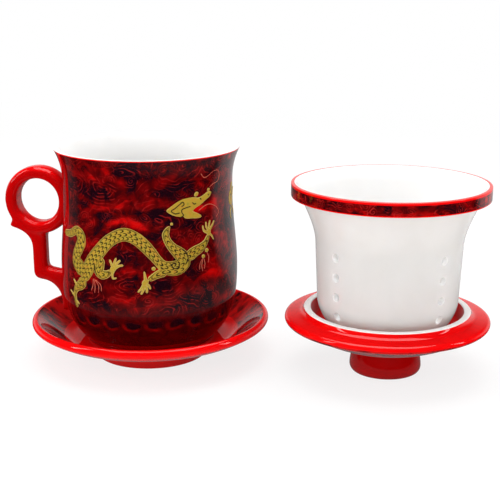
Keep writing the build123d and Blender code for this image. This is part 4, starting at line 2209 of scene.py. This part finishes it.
@dataclass
class Studio:
    """White table, soft lamps and the camera."""

    camera_right: float = 47.0
    camera_back: float = 482.6
    camera_height: float = 177.2
    camera_pitch: float = 14.83
    focal_pixels: float = 1064.5
    image_pixels: float = 500.0
    sensor: float = 36.0
    floor_half: float = 3.0
    floor_white: float = 0.80
    clip: Pair = (0.01, 50.0)
    white: Colour = (1.0, 1.0, 1.0)
    table_grey: Colour = (0.90, 0.90, 0.90)
    away: Pair = (0.2, 1.0)
    near: Pair = (0.17, 0.09)
    near_glow: float = 0.18
    behind: Pair = (0.02, 0.12)
    behind_glow: float = 0.1
    left_behind: Pair = (-0.16, 0.02)
    left_glow: float = 0.30
    right_behind: Pair = (0.02, 0.12)
    right_glow: float = 0.20
    world_depth: Pair = (-0.9, 0.5)
    world_light: float = 0.30
    world_swing: float = 0.55
    mirror_depth: Pair = (0.0, 0.5)
    mirror_height: Pair = (0.45, 0.15)
    mirror_light: float = 0.03
    mirror_swing: float = 0.6
    lamps: Tuple[Lamp, ...] = (
        Lamp("lamp_left", (-0.75, -0.25, 0.45), (0.10, 0.6), 1.3),
        Lamp("lamp_right", (0.85, -0.15, 0.40), (0.10, 0.5), 0.9),
        Lamp("lamp_top", (0.0, 0.10, 0.95), (0.9, 0.9), 7.2),
        Lamp("lamp_front", (0.0, -0.85, 0.60), (0.7, 0.4), 1.9, False),
        Lamp("fill_front", (0.05, -0.95, 0.10), (0.8, 0.16), 1.1, False),
        Lamp("fill_left", (-0.80, -0.40, 0.45), (0.5, 0.5), 1.9, False),
        Lamp("fill_right", (0.85, -0.40, 0.45), (0.5, 0.5), 1.2, False),
    )

    def rays(self, sheet: Sheet, *kinds: str) -> List[Val]:
        """1 on rays of each of some kinds and 0 on others, from one Light Path node."""
        node = sheet.add("ShaderNodeLightPath")
        return [Val(sheet, node.outputs[f"Is {kind} Ray"]) for kind in kinds]

    def world(self) -> None:
        """Even white surroundings that are dimmer on the camera's side and in mirror images."""
        world = bpy.data.worlds.new("surroundings")
        bpy.context.scene.world = world
        world.use_nodes = True
        sheet = Sheet(world.node_tree)
        _, depth, height = sheet.split(sheet.add("ShaderNodeTexCoord").outputs["Generated"])
        level = depth.rise(*self.world_depth) * self.world_swing + self.world_light
        mirrored = depth.rise(*self.mirror_depth) * height.rise(*self.mirror_height)
        mirrored = mirrored * self.mirror_swing + self.mirror_light
        seen, glossy = self.rays(sheet, "Camera", "Glossy")
        strength = (level * (1.0 - glossy) + mirrored * glossy).most(seen)
        light = sheet.add("ShaderNodeBackground", None, {"Color": self.white, "Strength": strength})
        sheet.add("ShaderNodeOutputWorld", None, {"Surface": light.outputs[0]})

    def table_coat(self) -> Coat:
        """Draw the table: matt where light falls on it, nearly white where it is seen.

        In mirror images it glows a little near the set and behind it.

        Returns:
            The finished material.
        """
        material, sheet = new_sheet("table_white")
        seen, through, glossy = self.rays(sheet, "Camera", "Transmission", "Glossy")
        x, y, _ = sheet.split(sheet.object_place())
        reach = (x * x + y * y) ** 0.5
        sides = x.rise(*self.left_behind) * self.left_glow + x.rise(*self.right_behind) * self.right_glow
        behind = y.rise(*self.behind) * (sides + self.behind_glow)
        mirrored = (reach.rise(*self.near) * self.near_glow).most(behind)
        away = reach.rise(*self.away) * (1.0 - self.floor_white)
        matt = sheet.add("ShaderNodeBsdfDiffuse", None, {"Color": self.table_grey})
        strength = mirrored * glossy + (1.0 - glossy)
        glow = sheet.add("ShaderNodeEmission", None, {"Color": self.white, "Strength": strength})
        share = (seen.most(through) * (away + self.floor_white)).most(glossy)
        both = {0: share, 1: matt.outputs[0], 2: glow.outputs[0]}
        mixed = sheet.add("ShaderNodeMixShader", None, both)
        sheet.add("ShaderNodeOutputMaterial", None, {"Surface": mixed.outputs[0]})
        return material

    def table(self) -> None:
        """Pale table that keeps the shadow."""
        half = self.floor_half
        mesh = bpy.data.meshes.new("table")
        corners = [(-half, -half, 0), (half, -half, 0), (half, half, 0), (-half, half, 0)]
        mesh.from_pydata(corners, [], [(0, 1, 2, 3)])
        mesh.materials.append(self.table_coat())
        put_in_scene("table", mesh)

    def camera(self) -> None:
        """Camera in front of the set, looking a little down."""
        mug = axis_of("mug_body")
        data = bpy.data.cameras.new("camera")
        data.sensor_width = self.sensor
        data.lens = self.focal_pixels / self.image_pixels * self.sensor
        data.clip_start, data.clip_end = self.clip
        camera = put_in_scene("camera", data)
        camera.location = (
            mug[0] + self.camera_right * MM,
            mug[1] - self.camera_back * MM,
            self.camera_height * MM,
        )
        camera.rotation_euler = (math.radians(90 - self.camera_pitch), 0.0, 0.0)
        bpy.context.scene.camera = camera

    def build(self) -> None:
        """The whole stage."""
        bpy.context.scene.view_settings.view_transform = "Standard"
        self.world()
        self.table()
        for lamp in self.lamps:
            lamp.build()
        self.camera()


# The whole set


@dataclass(frozen=True)
class Palette:
    """Glazes and prints of this set."""

    red: Glaze = Glaze("red_glaze", (0.85, 0.0020, 0.0025), (0.78, 0.0010, 0.0020))
    # Red of the handle and knob: painted shade on its upright and downward faces, which the light from above
    # reaches less
    shaded_red: Glaze = Glaze(
        "red_glaze_painted_shade", (0.85, 0.0020, 0.0025), (0.76, 0.0010, 0.0020), (0.43, 0.0008, 0.0012)
    )
    # Red of the bare wall beside the handle, darker with painted shade on its upright faces
    wall: Glaze = Glaze(
        "wall_red_glaze_painted_shade", (0.70, 0.0015, 0.0020), (0.60, 0.0010, 0.0015), (0.27, 0.0006, 0.0010), gloss=0.40
    )
    # Red of the flange band's edges: pink is a painted reflection of the light above on the faces that look
    # up, and plain red on upright faces
    edge: Glaze = Glaze("edge_red_glaze_painted_reflection", (0.86, 0.085, 0.075), (0.84, 0.060, 0.055), (0.80, 0.0020, 0.0025))
    dish: Glaze = Glaze(
        "dish_red_glaze", (0.85, 0.0020, 0.0025), (0.78, 0.0010, 0.0020), gloss=0.06, roughness=0.3
    )
    inner: Glaze = Glaze(
        "white_glaze", (0.805, 0.802, 0.797), (0.795, 0.79, 0.782),
        gloss=0.12, roughness=0.2, glow_through=0.4,
    )
    # White of the strainer's outside: the same white as inside, painted darker as shade
    outer: Glaze = Glaze(
        "outer_white_glaze_painted_shade", (0.615, 0.614, 0.608), (0.595, 0.593, 0.585), glow_through=0.8, glow_depth=0.007
    )
    bare: BareClay = BareClay()
    glows: Tuple[Glow, ...] = (
        Glow(-11.5, 62.2, 5.0, 1.5, 22.0, 0.36),
        Glow(-1.5, 61.8, 5.0, 1.5, -26.0, 0.36),
        Glow(-13.6, 84.0, 2.2, 1.8, 0.0, 0.24),
        Glow(-8.0, 80.0, 3.0, 2.0, -15.0, 0.28),
        Glow(-10.0, 69.5, 8.0, 2.2, 0.0, 0.16),
        Glow(10.5, 80.5, 6.0, 2.2, 20.0, 0.16),
        Glow(27.5, 77.5, 3.0, 4.5, 0.0, 0.16),
        Glow(37.5, 69.0, 3.0, 2.2, 10.0, 0.30),
        Glow(28.0, 66.5, 4.0, 1.6, 10.0, 0.22),
        Glow(-9.0, 27.5, 7.0, 2.4, -10.0, 0.14),
        Glow(8.0, 26.5, 4.0, 2.2, 0.0, 0.13),
        Glow(16.5, 31.5, 6.0, 3.0, 25.0, 0.14),
        Glow(34.0, 37.5, 6.0, 4.5, 30.0, 0.13),
        Glow(-4.2, 79.5, 2.4, 3.6, 0.0, -0.20),
        Glow(-15.5, 65.5, 6.0, 3.0, 0.0, -0.20),
        Glow(14.5, 76.5, 8.0, 2.4, 8.0, -0.15),
        Glow(3.0, 67.0, 7.0, 2.6, 0.0, -0.15),
        Glow(-4.0, 47.0, 7.0, 5.0, 0.0, -0.10),
    )
    mug_print: ScrollPrint = ScrollPrint(
        "mug_print", wall, glows=glows, waves=WaveRow(16.0), lightness=-0.04, lip_height=89.2
    )
    brim_print: ScrollPrint = ScrollPrint(
        "brim_print", red, ground=PrintPlane.BRIM, lightness=0.19, contrast=1.8
    )
    band_print: ScrollPrint = ScrollPrint(
        "band_print", edge, lightness=0.02, ink_share=1.0, cloud_size=9.0, puff_size=8.0,
        curls=Curls(5.0, 1.0, 1.0, 0.58, line_half=0.24),
        fans=Curls(7.5, 1.15, 0.0, 0.75, line_half=0.24),
    )


def main() -> None:
    """Build the set piece by piece and dress it."""
    logging.basicConfig(level=logging.INFO)
    palette = Palette()
    white_coat = palette.inner.material()
    # Red of the handle and knob, with painted shade on its upright faces
    red_coat = palette.shaded_red.material()

    fit(Saucer().build(palette.brim_print), Body.SAUCER, Slot.PRINT, "saucer")
    mug = Mug()
    fit(mug.build(palette.mug_print, white_coat), Body.MUG, Slot.PRINT, "mug_body")
    fit(Handle(mug).build(red_coat), Body.MUG, Slot.RED, "mug_handle")
    for piece in Dragon(mug).build():
        fit(piece, Body.MUG, Slot.PRINT)
    basket = Strainer().build(palette.band_print, palette.outer.material(), white_coat)
    fit(basket, Body.STRAINER, Slot.WHITE, "strainer")
    lid = Lid()
    cover = lid.build_cover(palette.brim_print, palette.bare.material(), palette.dish.material())
    knob = lid.build_knob(red_coat)
    fit(cover, Body.LID, Slot.RED, "lid_cover")
    fit(knob, Body.LID, Slot.RED, "lid_knob")
    for piece in (basket, cover, knob):
        piece.visible_glossy = False
    Studio().build()


if __name__ == "__main__":
    main()
